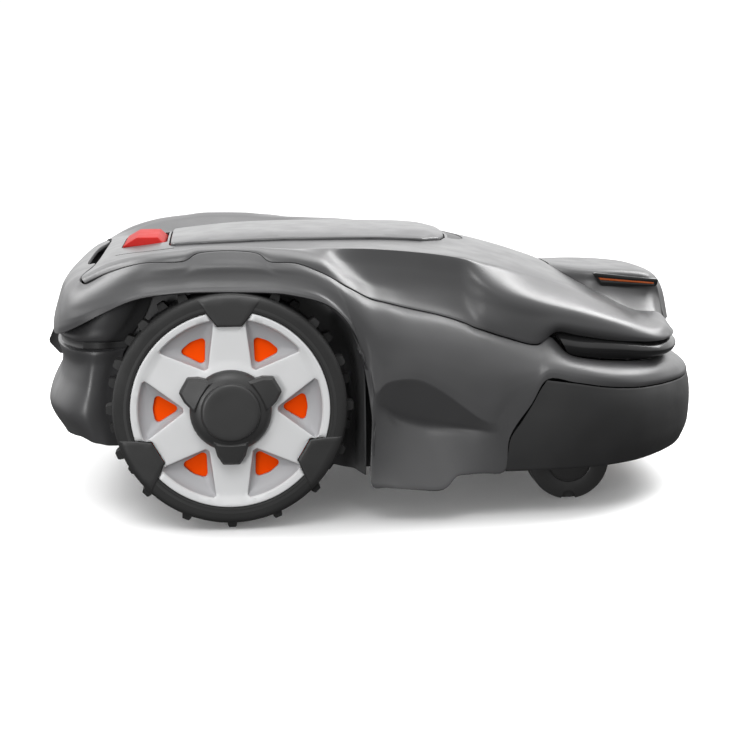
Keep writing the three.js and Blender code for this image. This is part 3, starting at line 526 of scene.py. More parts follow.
# Side shell: stations from the front centre to the rear centre, each from its top edge down.
SIDE = around([
    [
        [322, 0, 155], [333, 0, 151], [344, 0, 146.5], [352, 0, 141], [358, 0, 137], [361, 0, 133],
        [362.5, 0, 129.5], [363, 0, 126.2],
    ],
    [
        [321, 75, 154], [330.5, 79, 150.5], [340, 82, 146], [347.5, 85, 141], [352.5, 87.3, 136.5],
        [354.5, 88.8, 133], [355.3, 89.6, 130.2], [355.5, 90, 127.4],
    ],
    [
        [313, 132, 153], [318, 135, 150], [324, 138.5, 145.5], [329, 141.5, 140.5],
        [332, 143, 135.8], [333, 143.8, 133.2], [333.2, 144, 131], [333, 144, 128.9],
    ],
    [
        [293, 162, 153.5], [299, 165.3, 150.5], [305.5, 168, 146], [310.6, 170, 140.7],
        [313.3, 171, 136], [313.8, 171.3, 133.5], [313.8, 171.3, 131.5], [313.3, 171, 129.7],
    ],
    [
        [272, 181, 154.5], [278, 186.3, 152], [284, 191, 147.7], [288, 194.5, 142.7],
        [290, 196.2, 138], [290.5, 196.8, 135.3], [290.5, 196.8, 133], [290, 196.5, 130.9],
    ],
    [
        [246, 192.5, 156.5], [251, 201, 154.5], [256, 208.5, 150.7], [260, 214.5, 145.3],
        [262, 217, 140.6], [262.8, 217.8, 137.5], [262.8, 218, 135], [262.5, 217.8, 132.4],
    ],
    [
        [222, 197, 159], [224, 209, 158], [226, 219.5, 155], [227.5, 228, 150], [228, 231.8, 145.5],
        [228, 232.8, 142], [227.7, 233, 139], [227, 233, 136.4],
    ],
    [
        [193, 199, 166], [193, 213, 164.5], [193, 224.5, 161.5], [193, 232.5, 157],
        [193, 236.8, 152], [193, 238.3, 148], [192.6, 238.8, 145], [192, 239, 142.4],
    ],
    [
        [171, 203, 186], [169.5, 215, 175.5], [167.5, 226, 167.5], [165.5, 233, 161.5],
        [164.6, 237, 156.5], [164, 238.5, 152.5], [163.5, 239, 149], [163, 239.2, 146.4],
    ],
    [
        [157, 213.3, 178.2], [156, 220.5, 172], [154.5, 229, 164], [153, 235, 156],
        [151, 238.2, 148], [149, 239.8, 140], [147, 240.8, 131], [145.9, 241.5, 121],
    ],
    [
        [123, 214.8, 186.2], [123, 223.5, 178.5], [123, 232, 167], [123, 238.5, 153],
        [122.8, 241.5, 138], [122.5, 243, 122], [122, 244.5, 104], [122.7, 245.5, 87],
    ],
    [
        [99, 215.2, 194.2], [100, 223.5, 187], [102, 233, 173], [104, 241, 154],
        [105.5, 246.3, 124], [106, 247.5, 103], [109, 247, 93], [117, 248, 51],
    ],
    [
        [88, 215.6, 198.2], [89, 224.5, 191], [90, 235, 176], [91, 243.5, 154], [91, 248, 126],
        [91, 249.5, 108], [91.5, 244, 95], [95, 250.5, 50.5],
    ],
    [
        [80, 215.8, 202.2], [80, 225, 195], [80, 236, 180], [79, 244.5, 158], [78, 249, 134],
        [78, 250.8, 117.5], [75, 239.5, 96], [80, 253, 50.5],
    ],
    [
        [53, 217, 211.2], [53, 227, 204], [53, 239, 188], [52, 247, 168], [50.5, 251, 149],
        [50, 252, 138.5], [49, 234.5, 97], [67, 256, 50],
    ],
    [
        [16, 219.5, 220.2], [18, 231, 213], [21, 243, 196], [24, 249.5, 176], [26, 252.3, 160],
        [27, 253, 150.5], [31, 233, 99], [52, 262, 38],
    ],
    [
        [-2, 222.5, 225.3], [0, 234, 217.5], [2, 245, 199], [4, 249.8, 176], [5.5, 252, 160],
        [6, 252.6, 151], [7, 234.5, 107], [21, 260.5, 38],
    ],
    [
        [-20, 226, 230.4], [-18, 237, 221], [-15, 246, 203], [-11.5, 249.3, 180], [-9, 250.7, 160],
        [-7.5, 251.2, 146.5], [-6.5, 241.5, 118], [-7, 255, 38.8],
    ],
    [
        [-38, 233, 240.3], [-34.5, 240.5, 230], [-29, 246, 214], [-23, 248.3, 192],
        [-18.5, 249.2, 165], [-16.5, 249.8, 137], [-16, 247, 125], [-20.5, 252, 39.5],
    ],
    [
        [-48, 235, 245.8], [-44, 241, 237.5], [-38.5, 245.5, 224], [-32, 247.5, 206],
        [-27, 248, 186], [-24, 248.2, 166], [-22.3, 247.8, 150], [-21, 247.2, 108],
    ],
    [
        [-58, 236.7, 252.4], [-53.5, 242, 244.5], [-48, 245.5, 233], [-43, 247.5, 219],
        [-38.5, 248.3, 203], [-35, 248.5, 190], [-31.5, 248.3, 176], [-28.5, 247.5, 161],
    ],
    [
        [-68, 238, 258], [-63, 242.5, 251], [-57, 246, 241], [-51, 248, 229.5], [-46, 249, 219],
        [-42.5, 249.5, 211], [-40, 250, 205], [-38, 250, 198],
    ],
    [
        [-97, 240, 269.6], [-92, 245, 263], [-87, 247.3, 255.5], [-81, 249.3, 248],
        [-75, 251.5, 241], [-70, 253.7, 236], [-66, 254.8, 231.5], [-62, 255.3, 227],
    ],
    [
        [-124, 243, 271.9], [-121, 247, 266.5], [-118, 248.7, 261], [-114, 250.3, 255.3],
        [-110, 252.5, 250], [-107, 255, 246], [-105, 257, 243], [-104, 258, 240.3],
    ],
    [
        [-136, 236, 279.8], [-134.5, 242.5, 273], [-132, 248.3, 266], [-130, 249.7, 259.5],
        [-128, 252, 253], [-127, 254.8, 248], [-126.5, 257, 245], [-126, 258, 242.6],
    ],
    [
        [-195, 236, 280.4], [-195, 242.7, 273.5], [-195, 248.3, 266.5], [-195.5, 249.7, 259.7],
        [-196, 252, 253.3], [-196, 254.8, 248.3], [-196, 257, 246], [-196, 258, 244],
    ],
    [
        [-208, 243, 273.5], [-209, 247.3, 267.5], [-210, 248.8, 261.5], [-211, 250.3, 256],
        [-212, 252.5, 250.5], [-212.5, 255, 247], [-213, 257, 245], [-213, 258, 243.6],
    ],
    [
        [-250.3, 238, 271.1], [-251, 243.5, 265], [-252, 246.8, 258.5], [-253, 249, 252],
        [-254, 251.7, 246], [-255, 254, 242], [-256, 255.8, 239.5], [-257, 256.3, 237.2],
    ],
    [
        [-285.7, 223, 260], [-287, 231, 254], [-288, 237.5, 247], [-289, 242, 240],
        [-289.5, 245.3, 233.5], [-289.5, 247.5, 229], [-289, 248.3, 226], [-288.5, 249, 223.5],
    ],
    [
        [-309.5, 208, 247.6], [-313.5, 216, 244], [-316, 224, 238], [-316.8, 230.5, 231],
        [-316.5, 235.2, 224], [-315.5, 239.3, 218.5], [-314.5, 240.5, 214.5], [-312, 241.3, 210.8],
    ],
    [
        [-315.5, 200, 250.5], [-321.5, 204, 245], [-326.5, 210, 237.5], [-329.5, 216, 229],
        [-331.3, 221.5, 220], [-331.5, 225.5, 213], [-330.8, 228.6, 207.5], [-329, 231, 202.2],
    ],
    [
        [-314, 183, 254.3], [-324, 184, 248.9], [-332, 187, 239.5], [-336.5, 190, 228],
        [-339, 193, 216], [-340.3, 195.2, 208], [-341, 196.7, 201.5], [-341, 198, 195.7],
    ],
    [
        [-308, 152, 257.6], [-322.5, 152, 252], [-333, 151, 243], [-338.8, 150, 229.5],
        [-342.8, 150, 215.5], [-345.6, 150, 206.5], [-347.3, 150, 199.3], [-348.3, 150, 192],
    ],
    [
        [-305.5, 118, 258.8], [-322.5, 119, 252.2], [-337.8, 120, 240.5], [-342.3, 120, 229],
        [-346.3, 120, 216], [-349.2, 120, 206.5], [-350.8, 120, 199], [-351.4, 120, 191.5],
    ],
    [
        [-314, 96, 255.5], [-327.5, 96, 249.8], [-341, 94, 237.5], [-345.3, 92, 227],
        [-349, 90, 215.5], [-351.8, 90, 206], [-353.2, 90, 198.5], [-353.8, 90, 191],
    ],
    [
        [-318, 0, 253.5], [-332, 0, 247.6], [-343.5, 0, 236.5], [-347.5, 0, 227], [-351, 0, 216],
        [-353.8, 0, 206.5], [-355, 0, 198.5], [-355.6, 0, 190],
    ],
], loop=True)

FINE = 20  # steps in which crisp_rows reads a span of the smooth curve


def crisp_rows(station, amount, rows):
    """Adds a row each side of some rows of a station, so close by that the curve bends there.

    rows gives how near they lie, as a share of the span, and amount how straight the curve runs
    to them, from 0 for the smooth curve to 1.
    """
    p = np.array(station, float)
    smooth = spline(p[:, None], [FINE] * (len(p) - 1))[:, 0]
    made = []
    for i, point in enumerate(p):
        if i not in rows:
            made.append(point)
            continue
        share = rows[i]
        reach = round(FINE * share)
        before, after = smooth[FINE * i - reach], smooth[FINE * i + reach]
        made.append(before * (1 - amount) + (point + (p[i - 1] - point) * share) * amount)
        made.append(point)
        made.append(after * (1 - amount) + (point + (p[i + 1] - point) * share) * amount)
    return [list(v) for v in made]


# The door's recess has a crisp crest and a softer foot. Keys are rows, then stations on each side.
RECESS_ROWS = {5: 0.1, 6: 0.2}
RECESS_CRISP = {11: 0.4, 12: 0.9, 13: 1, 14: 1, 15: 1, 16: 1, 17: 1, 18: 0.5}
SIDE = [crisp_rows(s, RECESS_CRISP.get(min(i, len(SIDE) - i), 0), RECESS_ROWS) for i, s in enumerate(SIDE)]

# The crest between the hood's top and its flank is crisp behind and softens forwards.
CREST_ROWS = {4: 0.12, 12: 0.12}
CREST_CRISP = {9: 0.4, 10: 0.7, 11: 0.9, 12: 1, 13: 1, 14: 1, 15: 0.8, 16: 0.4, 17: 0.1}
HOOD = [crisp_rows(s, CREST_CRISP.get(i, 0), CREST_ROWS) for i, s in enumerate(HOOD)]

# Rear cowl: stations from behind the wheel round to the rear, each from its hidden top edge down.
COWL = around([
    [
        [-238, 204, 246], [-252, 204, 212], [-268, 204, 189.5], [-268, 203.5, 187.5],
        [-270, 203.5, 180.5], [-272, 204, 178.5], [-276, 204, 165], [-281, 204, 143],
        [-282, 204, 112], [-277, 204, 78],
    ],
    [
        [-241, 207, 245], [-256, 206.5, 212], [-272, 206, 189.5], [-274, 204, 187.5],
        [-275, 204, 180.5], [-277, 206, 178.5], [-283, 206, 165], [-288, 206, 143],
        [-288.5, 206, 112], [-283.5, 206, 78.5],
    ],
    [
        [-247, 213, 243], [-264, 211.5, 211], [-281, 211, 189.5], [-283, 205, 187.5],
        [-283.5, 205, 180.5], [-285.5, 211, 178.5], [-290.5, 211, 165], [-295.5, 211, 143],
        [-296, 211.5, 112], [-291, 210, 79.5],
    ],
    [
        [-257, 222, 238], [-273, 218, 208], [-289, 215.5, 189.5], [-290, 207.5, 187.5],
        [-290.5, 207.5, 180.5], [-292.5, 214.5, 178.5], [-298, 213, 165], [-302, 213, 143],
        [-303.5, 215, 112], [-299, 211.5, 81.5],
    ],
    [
        [-277, 226, 231], [-290, 220.5, 204], [-300, 216, 189.5], [-299, 208, 187.5],
        [-299.5, 208, 180.5], [-301.5, 215, 178.5], [-306, 212.5, 165], [-309, 213, 143],
        [-313, 216.5, 112], [-306, 211.5, 83],
    ],
    [
        [-300, 218, 222], [-311, 213.5, 203], [-317, 210, 189.5], [-313.5, 202.5, 187.5],
        [-314, 202.5, 180.5], [-317.5, 208, 178.5], [-317, 203, 165], [-320, 204.5, 145],
        [-329, 208, 113], [-317, 203, 87],
    ],
    [
        [-321, 194, 216], [-329, 189, 202], [-332, 187, 189.5], [-329, 181, 187.5],
        [-329, 181, 180.5], [-332, 184.5, 178.5], [-330.5, 180, 165], [-333, 181, 146],
        [-344, 183, 114], [-328, 176, 84],
    ],
    [
        [-333, 145, 212], [-341, 143, 200], [-344, 142, 189.5], [-341, 139.5, 187.5],
        [-341, 139.5, 180.5], [-344, 140.5, 178.5], [-340.5, 139, 165], [-342, 140, 147],
        [-355.5, 140, 115], [-339.5, 134, 80],
    ],
    [
        [-338, 72, 210], [-347, 72, 199], [-350, 72, 189.5], [-347, 72, 187.5], [-347, 72, 180.5],
        [-350, 72, 178.5], [-346, 72, 165], [-348, 72, 147], [-361, 72, 115], [-346, 72, 78],
    ],
    [
        [-339, 0, 210], [-348, 0, 199], [-351, 0, 189.5], [-348, 0, 187.5], [-348, 0, 180.5],
        [-351, 0, 178.5], [-347.5, 0, 165], [-349.5, 0, 147], [-362.5, 0, 115], [-348, 0, 78],
    ],
])

# Front bumper: stations from its rear end round to the front, each from its top edge down.
BUMPER = around([
    [
        [162.5, 238.9, 145.4], [155.4, 240.5, 135.4], [147, 242.1, 120.5], [135.5, 244.3, 103],
        [124, 245.8, 86], [120.6, 247.2, 68], [118.6, 247.6, 51],
    ],
    [
        [192, 239.3, 141.4], [190.5, 241.5, 131], [189, 243.5, 118], [187.5, 245.3, 102],
        [186, 246, 86], [185.5, 245.8, 68], [185, 244.5, 51.5],
    ],
    [
        [227, 233.3, 135.4], [227.2, 236, 126], [227.3, 238, 115], [227.2, 239.3, 100],
        [227, 239.5, 85], [226.7, 238.6, 68], [226, 236, 52],
    ],
    [
        [262.5, 218, 131.4], [264, 220.6, 122.5], [265.2, 222.5, 112], [266, 223.4, 99],
        [266, 223.4, 85], [265.5, 221.8, 69], [264, 217, 52.5],
    ],
    [
        [290, 196.7, 129.9], [292, 198.8, 121.5], [293.5, 200, 111], [294.3, 200.5, 98],
        [294.3, 200, 85], [293.5, 198.3, 69], [290, 194, 53],
    ],
    [
        [313.3, 171.3, 128.7], [315.2, 173.2, 120], [316.8, 174.2, 110], [317.4, 174.4, 97],
        [317.4, 174, 85], [316.4, 172.3, 69], [311.5, 168.5, 53],
    ],
    [
        [333, 144.3, 127.9], [335, 145.5, 119.3], [336.7, 146.3, 108.5], [337.3, 146.3, 97],
        [337.1, 145.8, 85], [335.7, 144.5, 69.5], [330, 142, 54],
    ],
    [
        [355.5, 90, 126.4], [357.5, 90.8, 118], [358.7, 91.2, 108], [359.2, 91.2, 97],
        [358.9, 90.8, 85], [357.5, 90, 70], [352, 88.5, 55],
    ],
    [
        [362, 45, 125.5], [364, 45, 117.7], [365.2, 45, 107.7], [365.6, 45, 97], [365.3, 45, 85],
        [364, 45, 71], [359, 44, 56.5],
    ],
    [
        [363, 0, 125.3], [365, 0, 117.5], [366.2, 0, 107.5], [366.4, 0, 97], [366.2, 0, 85],
        [365, 0, 71], [361, 0, 57],
    ],
])

# Headlight on the left: stations from its rear tip round to the nose, each from its top edge down.
LENS = [
    [
        [180, 198.5, 189], [182.5, 204, 183.5], [185, 206.2, 178.6], [186.5, 206.6, 176],
        [188.5, 205.8, 172], [192.5, 202, 165.5],
    ],
    [
        [202, 197.5, 185], [202.8, 203.3, 179.7], [203.6, 206.2, 175.3], [204, 206.6, 173.4],
        [204.6, 205.3, 169.5], [205, 200.5, 163],
    ],
    [
        [227, 193, 182.5], [228.5, 199.8, 177.5], [229.4, 202.8, 172.8], [229.6, 203.2, 170.9],
        [229.4, 201.8, 166.8], [227.7, 196.5, 160],
    ],
    [
        [252.5, 187, 179.5], [255, 194.7, 175], [256.6, 198, 170.4], [257, 198.4, 168.5],
        [256.4, 197, 164.5], [253.5, 190.5, 157.5],
    ],
    [
        [274.5, 179, 176.3], [279, 186.7, 172], [281, 189.8, 167.4], [281.4, 190.2, 165.5],
        [280.6, 188.6, 161.6], [276.2, 181, 155.3],
    ],
    [
        [293.5, 167, 174.8], [299.5, 173.7, 170.4], [302.1, 176.7, 165.9], [302.4, 177, 164],
        [301.4, 175.2, 160], [295, 166.5, 154.6],
    ],
    [
        [307.5, 149, 175], [315.5, 153.7, 170.2], [318.4, 155.7, 165.9], [318.7, 156, 164],
        [317.4, 154.4, 160], [311.5, 147, 154.4],
    ],
    [
        [320, 118.5, 176], [329, 120.2, 171], [332.2, 121, 166.4], [332.5, 121, 164.5],
        [331, 120, 160.6], [325, 115.8, 155.4],
    ],
    [
        [325, 84, 176], [334, 84, 171], [337.2, 84, 166.4], [337.5, 84, 164.5], [336, 84, 160.9],
        [331, 83.5, 156.2],
    ],
    [
        [327, 63, 176], [336, 63, 171], [339.2, 63, 166.4], [339.5, 63, 164.5], [338, 63, 161],
        [333, 63, 156.5],
    ],
]

# Nose: sections from the hood to its front, each from the centre line out and down.
NOSE = across([
    cut(206, (0, 243.8), (28, 243.4), (36, 241.5), (40, 237), (42, 229), (44, 216), (44, 190)),
    cut(226, (0, 243), (44, 242.3), (54, 240.5), (58.5, 236.5), (61, 229), (64, 217), (64, 180)),
    cut(250, (0, 241.8), (60, 240.8), (68, 238.7), (71.5, 235), (73, 227.5), (84, 214), (96, 209)),
    cut(285, (0, 240.2), (58, 239.3), (65, 237.5), (68.5, 234), (70, 222), (93, 197), (110, 191)),
    [
        [318, 0, 236.5], [317, 45, 235.5], [315.5, 57.5, 233.5], [316, 63, 229.5], [317, 65, 214],
        [318, 92, 190], [317, 111, 185],
    ],
    [
        [334, 0, 229], [330, 38, 228], [325.5, 52, 226], [326, 58, 221.5], [327, 60, 208],
        [327, 86, 181], [323, 111, 178],
    ],
    [
        [344.5, 0, 214], [339.5, 35, 213], [333, 50, 210.5], [331.8, 54.5, 206], [332, 58, 196],
        [334, 61, 180], [330.5, 80, 163],
    ],
    [
        [352, 0, 180], [347.5, 34, 180], [342, 47, 179], [340.6, 51, 176.5], [341.6, 56, 172],
        [343, 60.5, 165], [343, 61.5, 153],
    ],
])

# Hood cut-outs and the pieces in them: plan outlines, half of each.
HATCH_PLAN = [
    [82, 0], [81, 35], [78, 62], [70, 83], [49, 99], [-16, 104],
    [-79, 104], [-151, 99], [-222, 90], [-226, 84], [-226, 0],
]
LED_PLAN = [[108, 0], [106, 25], [99, 46], [88, 58], [83.5, 58], [86.5, 35], [87.5, 0]]
NOTCH_PLAN = [
    [420, 0], [420, 104], [330, 104], [299, 101], [280, 96],
    [260, 89], [239, 76], [216, 60], [205, 40], [202.5, 0],
]
HOOD_LINE = [[-221, 103], [-262, 107], [-288, 113], [-288, 110.4], [-262, 104.6], [-222, 100.5]]
BUTTON = {"rear": -279, "front": -231.5, "half": 60, "low": 262, "high": 280}

# ---- Materials ------------------------------------------------------------------------------


def noise(nodes, links, coords, scale, detail=3.0):
    """A noise pattern's grey level."""
    n = nodes.new("ShaderNodeTexNoise")
    n.inputs["Scale"].default_value = scale
    n.inputs["Detail"].default_value = detail
    links.new(coords, n.inputs["Vector"])
    return n.outputs["Fac"]


def ramp(nodes, links, fac, low, high, start=0.35, end=0.65):
    """A smooth run between two colours or two grey levels."""
    r = nodes.new("ShaderNodeValToRGB")
    for element, at, c in zip(r.color_ramp.elements, (start, end), (low, high)):
        element.position = at
        element.color = (*c, 1) if isinstance(c, tuple) else (c, c, c, 1)
    links.new(fac, r.inputs["Fac"])
    return r.outputs["Color"]


def material(name, low, high, rough, grain, metallic=0.0, coat=0.0, specular=0.5):
    """Moulded or painted surface: colour and roughness drift slowly, and a fine grain is in the bump.

    low and high are the colours it drifts between, rough its two roughness values, and grain the
    scale and depth in millimetres of the fine texture.
    """
    mat = bpy.data.materials.new(name)
    mat.use_nodes = True
    nodes, links = mat.node_tree.nodes, mat.node_tree.links
    shader = nodes["Principled BSDF"]
    coords = nodes.new("ShaderNodeTexCoord").outputs["Object"]
    drift = noise(nodes, links, coords, 9.0)
    links.new(ramp(nodes, links, drift, low, high), shader.inputs["Base Color"])
    wear = noise(nodes, links, coords, 38.0, 5.0)
    links.new(ramp(nodes, links, wear, *rough), shader.inputs["Roughness"])
    bump = nodes.new("ShaderNodeBump")
    bump.inputs["Strength"].default_value = 0.6
    bump.inputs["Distance"].default_value = grain[1] * MM
    links.new(noise(nodes, links, coords, grain[0], 2.0), bump.inputs["Height"])
    links.new(bump.outputs["Normal"], shader.inputs["Normal"])
    shader.inputs["Metallic"].default_value = metallic
    shader.inputs["Specular IOR Level"].default_value = specular
    shader.inputs["Coat Weight"].default_value = coat
    shader.inputs["Coat Roughness"].default_value = 0.12
    mat.diffuse_color = (*high, 1)
    return mat


def grey(value, tint=1.03):
    """A grey with a little more blue."""
    return (value, value, value * tint)


HOOD_MAT = material("hood_plastic", grey(0.045), grey(0.052), (0.3, 0.36), (3000, 0.012), specular=0.55)
SHELL_MAT = material("shell_plastic", grey(0.05), grey(0.057), (0.34, 0.41), (2600, 0.018), specular=0.55)
BUMPER_MAT = material("bumper_plastic", grey(0.012), grey(0.016), (0.5, 0.6), (1400, 0.06))
CHASSIS_MAT = material("chassis_plastic", grey(0.014), grey(0.02), (0.5, 0.62), (1200, 0.08))
TYRE_MAT = material(
    "tyre_rubber", grey(0.018, 1.0), grey(0.026, 1.0), (0.62, 0.75), (900, 0.12), specular=0.35,
)
CLIP_MAT = material("clip_plastic", grey(0.022, 1.0), grey(0.028, 1.0), (0.42, 0.5), (1800, 0.03))
RIM_MAT = material("rim_silver", (0.66, 0.665, 0.67), (0.72, 0.725, 0.73), (0.36, 0.44), (3500, 0.01))
# Darker copy of the rim silver for the cups: painted shade on the pocket walls and floors, which are the same
# silver as the face.
CUP_SHADE_MAT = material("rim_shaded", grey(0.4), grey(0.45), (0.45, 0.52), (3500, 0.01), specular=0.4)
CAP_MAT = material("cap_grey", grey(0.026, 1.0), grey(0.034, 1.0), (0.4, 0.48), (2200, 0.02))
ORANGE_MAT = material(
    "accent_orange", (1.0, 0.07, 0.0), (1.0, 0.085, 0.0), (0.6, 0.7), (2000, 0.02), specular=0.05,
)
RED_MAT = material(
    "stop_red", (0.27, 0.003, 0.001), (0.32, 0.004, 0.002), (0.5, 0.58), (2500, 0.01), specular=0.12,
)
STRIP_MAT = material(
    "light_strip", (0.5, 0.1, 0.02), (0.62, 0.14, 0.03), (0.25, 0.35), (900, 0.01), coat=0.3,
)
LENS_MAT = material("smoked_lens", grey(0.012), grey(0.017), (0.16, 0.22), (400, 0.002), specular=0.4)
WINDOW_MAT = material("status_window", grey(0.004), grey(0.006), (0.3, 0.36), (400, 0.002), specular=0.12)
GLOSS_MAT = material("gloss_black", grey(0.005), grey(0.008), (0.1, 0.16), (500, 0.002), coat=0.5)
STEEL_MAT = material(
    "steel", (0.5, 0.5, 0.51), (0.62, 0.62, 0.63), (0.22, 0.34), (1500, 0.02), metallic=1.0,
)
MOTOR_MAT = material(
    "motor_can", (0.5, 0.5, 0.51), (0.6, 0.6, 0.61), (0.35, 0.45), (1500, 0.03), metallic=1.0,
)
COPPER_MAT = material(
    "contact_copper", (0.72, 0.38, 0.19), (0.8, 0.45, 0.24), (0.2, 0.35), (1500, 0.01), metallic=1.0,
)
WRAP_MAT = material("battery_wrap", (0.02, 0.03, 0.07), (0.03, 0.04, 0.09), (0.35, 0.45), (1500, 0.02))
BOARD_MAT = material("board", (0.01, 0.09, 0.03), (0.02, 0.14, 0.05), (0.3, 0.4), (1500, 0.02))

FINISHES = (
    (STEEL_MAT, ("drive_axle", "caster_axle", "guide_rod", "height_screw", "blade_")),
    (CAP_MAT, ("blade_disc", "hub_cap", "caster_wheel", "jog_knob")),
    (MOTOR_MAT, ("drive_motor", "cutting_motor", "height_motor")),
    (COPPER_MAT, ("charging_contact",)),
    (WRAP_MAT, ("battery_pack",)),
    (BOARD_MAT, ("circuit_board",)),
    (LENS_MAT, ("headlight", "status_light")),
    (GLOSS_MAT, ("sensor_visor", "display_window")),
    (CLIP_MAT, ("tyre_clips",)),
    (TYRE_MAT, ("tyre",)),
    (RIM_MAT, ("rim",)),
    (ORANGE_MAT, ("accent_disc", "start_button")),
    (RED_MAT, ("stop_button",)),
    (HOOD_MAT, ("hood", "hatch")),
    (SHELL_MAT, ("side_shell", "rear_cowl", "nose_module")),
    (BUMPER_MAT, ("front_bumper", "tail_fin")),
)
FINISH_BY_START = {start: mat for mat, starts in FINISHES for start in starts}


def finish_of(node):
    """The finish of a CAD node, by the longest name that it starts with."""
    fits = [start for start in FINISH_BY_START if node.startswith(start)]
    return FINISH_BY_START[max(fits, key=len)] if fits else CHASSIS_MAT


for node_name, node in frame["nodes"].items():
    node.data.materials.clear()
    node.data.materials.append(finish_of(node_name))


def dress(obj, mat, body, nodes=()):
    """Gives a piece its finish, its body and the CAD nodes that it stands for."""
    obj.data.materials.clear()
    obj.data.materials.append(mat)
    if nodes:
        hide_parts(*nodes)
    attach(obj, body)
    return obj


# ---- Moulded body ---------------------------------------------------------------------------


ABOVE = 400  # a height above everything


def surface_tree(grid):
    """A ray-cast tree of a grid of points, in millimetres."""
    c, r = grid.shape[:2]
    idx = np.arange(c * r).reshape(c, r)
    quads = np.stack([idx[:-1, :-1], idx[1:, :-1], idx[1:, 1:], idx[:-1, 1:]], -1).reshape(-1, 4)
    return BVHTree.FromPolygons([Vector(p) for p in grid.reshape(-1, 3)], quads.tolist())


def drop_on(tree, points):
    """The height of the surface under each plan point, and 0 where there is none."""
    out = []
    for x, y in points:
        hit = tree.ray_cast(Vector((x, y, ABOVE)), Vector((0, 0, -1)))[0]
        out.append(hit.z if hit else 0.0)
    return np.array(out)


def grow(outline, by):
    """A closed outline moved outwards."""
    side = np.roll(outline, -1, 0) - np.roll(outline, 1, 0)
    side /= np.linalg.norm(side, axis=1, keepdims=True)
    normal = np.stack([side[:, 1], -side[:, 0]], 1)
    area = (outline[:, 0] * np.roll(outline[:, 1], -1) - outline[:, 1] * np.roll(outline[:, 0], -1)).sum()
    return outline + normal * by * (1 if area > 0 else -1)


HOOD_GRID = sheet(HOOD, size=(5, 4))
HATCH_LINE = rounded(both_halves(HATCH_PLAN), 9)
LED_LINE = rounded(both_halves(LED_PLAN), 2.5)
HOOD_TREE = surface_tree(sheet(HOOD, size=(2.5, 2.5)))


def rectangle(x0, x1, half):
    return [[x0, -half], [x1, -half], [x1, half], [x0, half]]


def hood():
    """Cover with its nose notch and openings for the hatch, the status light and the stop button."""
    obj = shell("hood_skin", HOOD_GRID, SKIN, towards=(0, 0, 100), edge=0.5)
    b = BUTTON
    gap = 1.5
    carve(obj, prism(rounded(both_halves(NOTCH_PLAN), 4), 150, ABOVE))
    carve(obj, prism(grow(HATCH_LINE, 1.8), 236, ABOVE))
    for _, side in SIDES:
        carve(obj, prism([[x, side * y] for x, y in HOOD_LINE][::side], 266, ABOVE))
    carve(obj, prism(LED_LINE, 236, ABOVE))
    plan = rectangle(b["rear"] - gap, b["front"] + gap, b["half"] + gap)
    carve(obj, prism(rounded(plan, 4), 240, ABOVE))
    return dress(obj, HOOD_MAT, "shell", ["hood"])


def hatch():
    """Lid that stands proud of the hood at its edge and is level with it along the mower's highest part."""
    top, fade, edge_radius = 291, 9, 3

    def height(points, d):
        under = drop_on(HOOD_TREE, points)
        edge = np.sqrt(np.clip(1 - (1 - np.clip(d / edge_radius, 0, 1)) ** 2, 0, 1))
        return under - 0.5 + (1.2 + 2.4 * edge) * smooth01((top - under) / fade)

    obj = panel("hatch_panel", evenly(HATCH_LINE, 4), height, 2.2, spacing=9)
    return dress(obj, HOOD_MAT, "hatch", ["hatch"])


def status_window():
    def height(points, d):
        return drop_on(HOOD_TREE, points) - 0.5 - 0.5 * (1 - smooth01(d))

    obj = panel("status_window", evenly(grow(LED_LINE, -0.5), 3), height, SKIN, spacing=4)
    return dress(obj, WINDOW_MAT, "shell", ["status_light"])


def side_shell():
    obj = shell("side_skin", sheet(SIDE, (6, 4), True), SKIN, loop=True, towards=(0, 0, 120), edge=0.5)
    return dress(obj, SHELL_MAT, "shell", ["side_shell"])


def rear_cowl():
    obj = shell("cowl_skin", sheet(COWL, (6, 3)), SKIN, towards=(-100, 0, 140), edge=0.8)
    return dress(obj, SHELL_MAT, "shell", ["rear_cowl"])


def cowl_band(name, side):
    """Black strip lying in the cowl's groove, from behind the wheel to the rear corner."""
    strip = [[[x, y + 1.2, z] for x, y, z in station[3:5]] for station in COWL[-6:]]
    strip = [[high, list(np.add(high, low) / 2), low] for high, low in strip]
    net = strip[::-1] if side > 0 else [mirrored(s) for s in strip[::-1]]
    obj = shell(f"cowl_band_{name}", sheet(net, (5, 2)), 1, towards=(-200, 0, 184), edge=0.2)
    return dress(obj, BUMPER_MAT, "shell")


# Well under the carry handle: sections from the hood's rear edge down and back to the rear wall.
WELL = across([
    [[-299.5, 0, 257], [-299.5, 70, 257], [-299.5, 100, 256.5], [-300, 114, 255]],
    [[-300, 0, 240], [-300, 70, 240], [-300.5, 98, 243], [-301.5, 113, 252]],
    [[-306, 0, 228.5], [-306, 70, 228.5], [-305.5, 96, 234], [-305, 112, 250]],
    [[-319, 0, 225], [-319, 70, 225], [-317, 95, 231], [-311, 111, 249]],
    [[-332, 0, 229], [-332, 70, 229], [-328, 94, 234], [-319, 110, 248]],
    [[-339, 0, 236.5], [-339, 70, 236.5], [-336, 93, 240], [-326, 109, 247]],
])


def handle_well():
    obj = shell("handle_well", sheet(WELL, (6, 4)), 1.6, towards=(-315, 0, 0), edge=0.3)
    return dress(obj, SHELL_MAT, "shell")


def front_bumper():
    obj = shell("bumper_skin", sheet(BUMPER, (6, 4)), SKIN, towards=(150, 0, 90), edge=1.2)
    return dress(obj, BUMPER_MAT, "shell", ["front_bumper"])


def headlight(name, side):
    net = [mirrored(s) for s in LENS] if side < 0 else LENS
    obj = shell(f"headlight_{name}", sheet(net, (4, 2)), 3.5, towards=(150, 0, 120), edge=0.8)
    return dress(obj, LENS_MAT, "shell", [f"headlight_lens_{name}"])


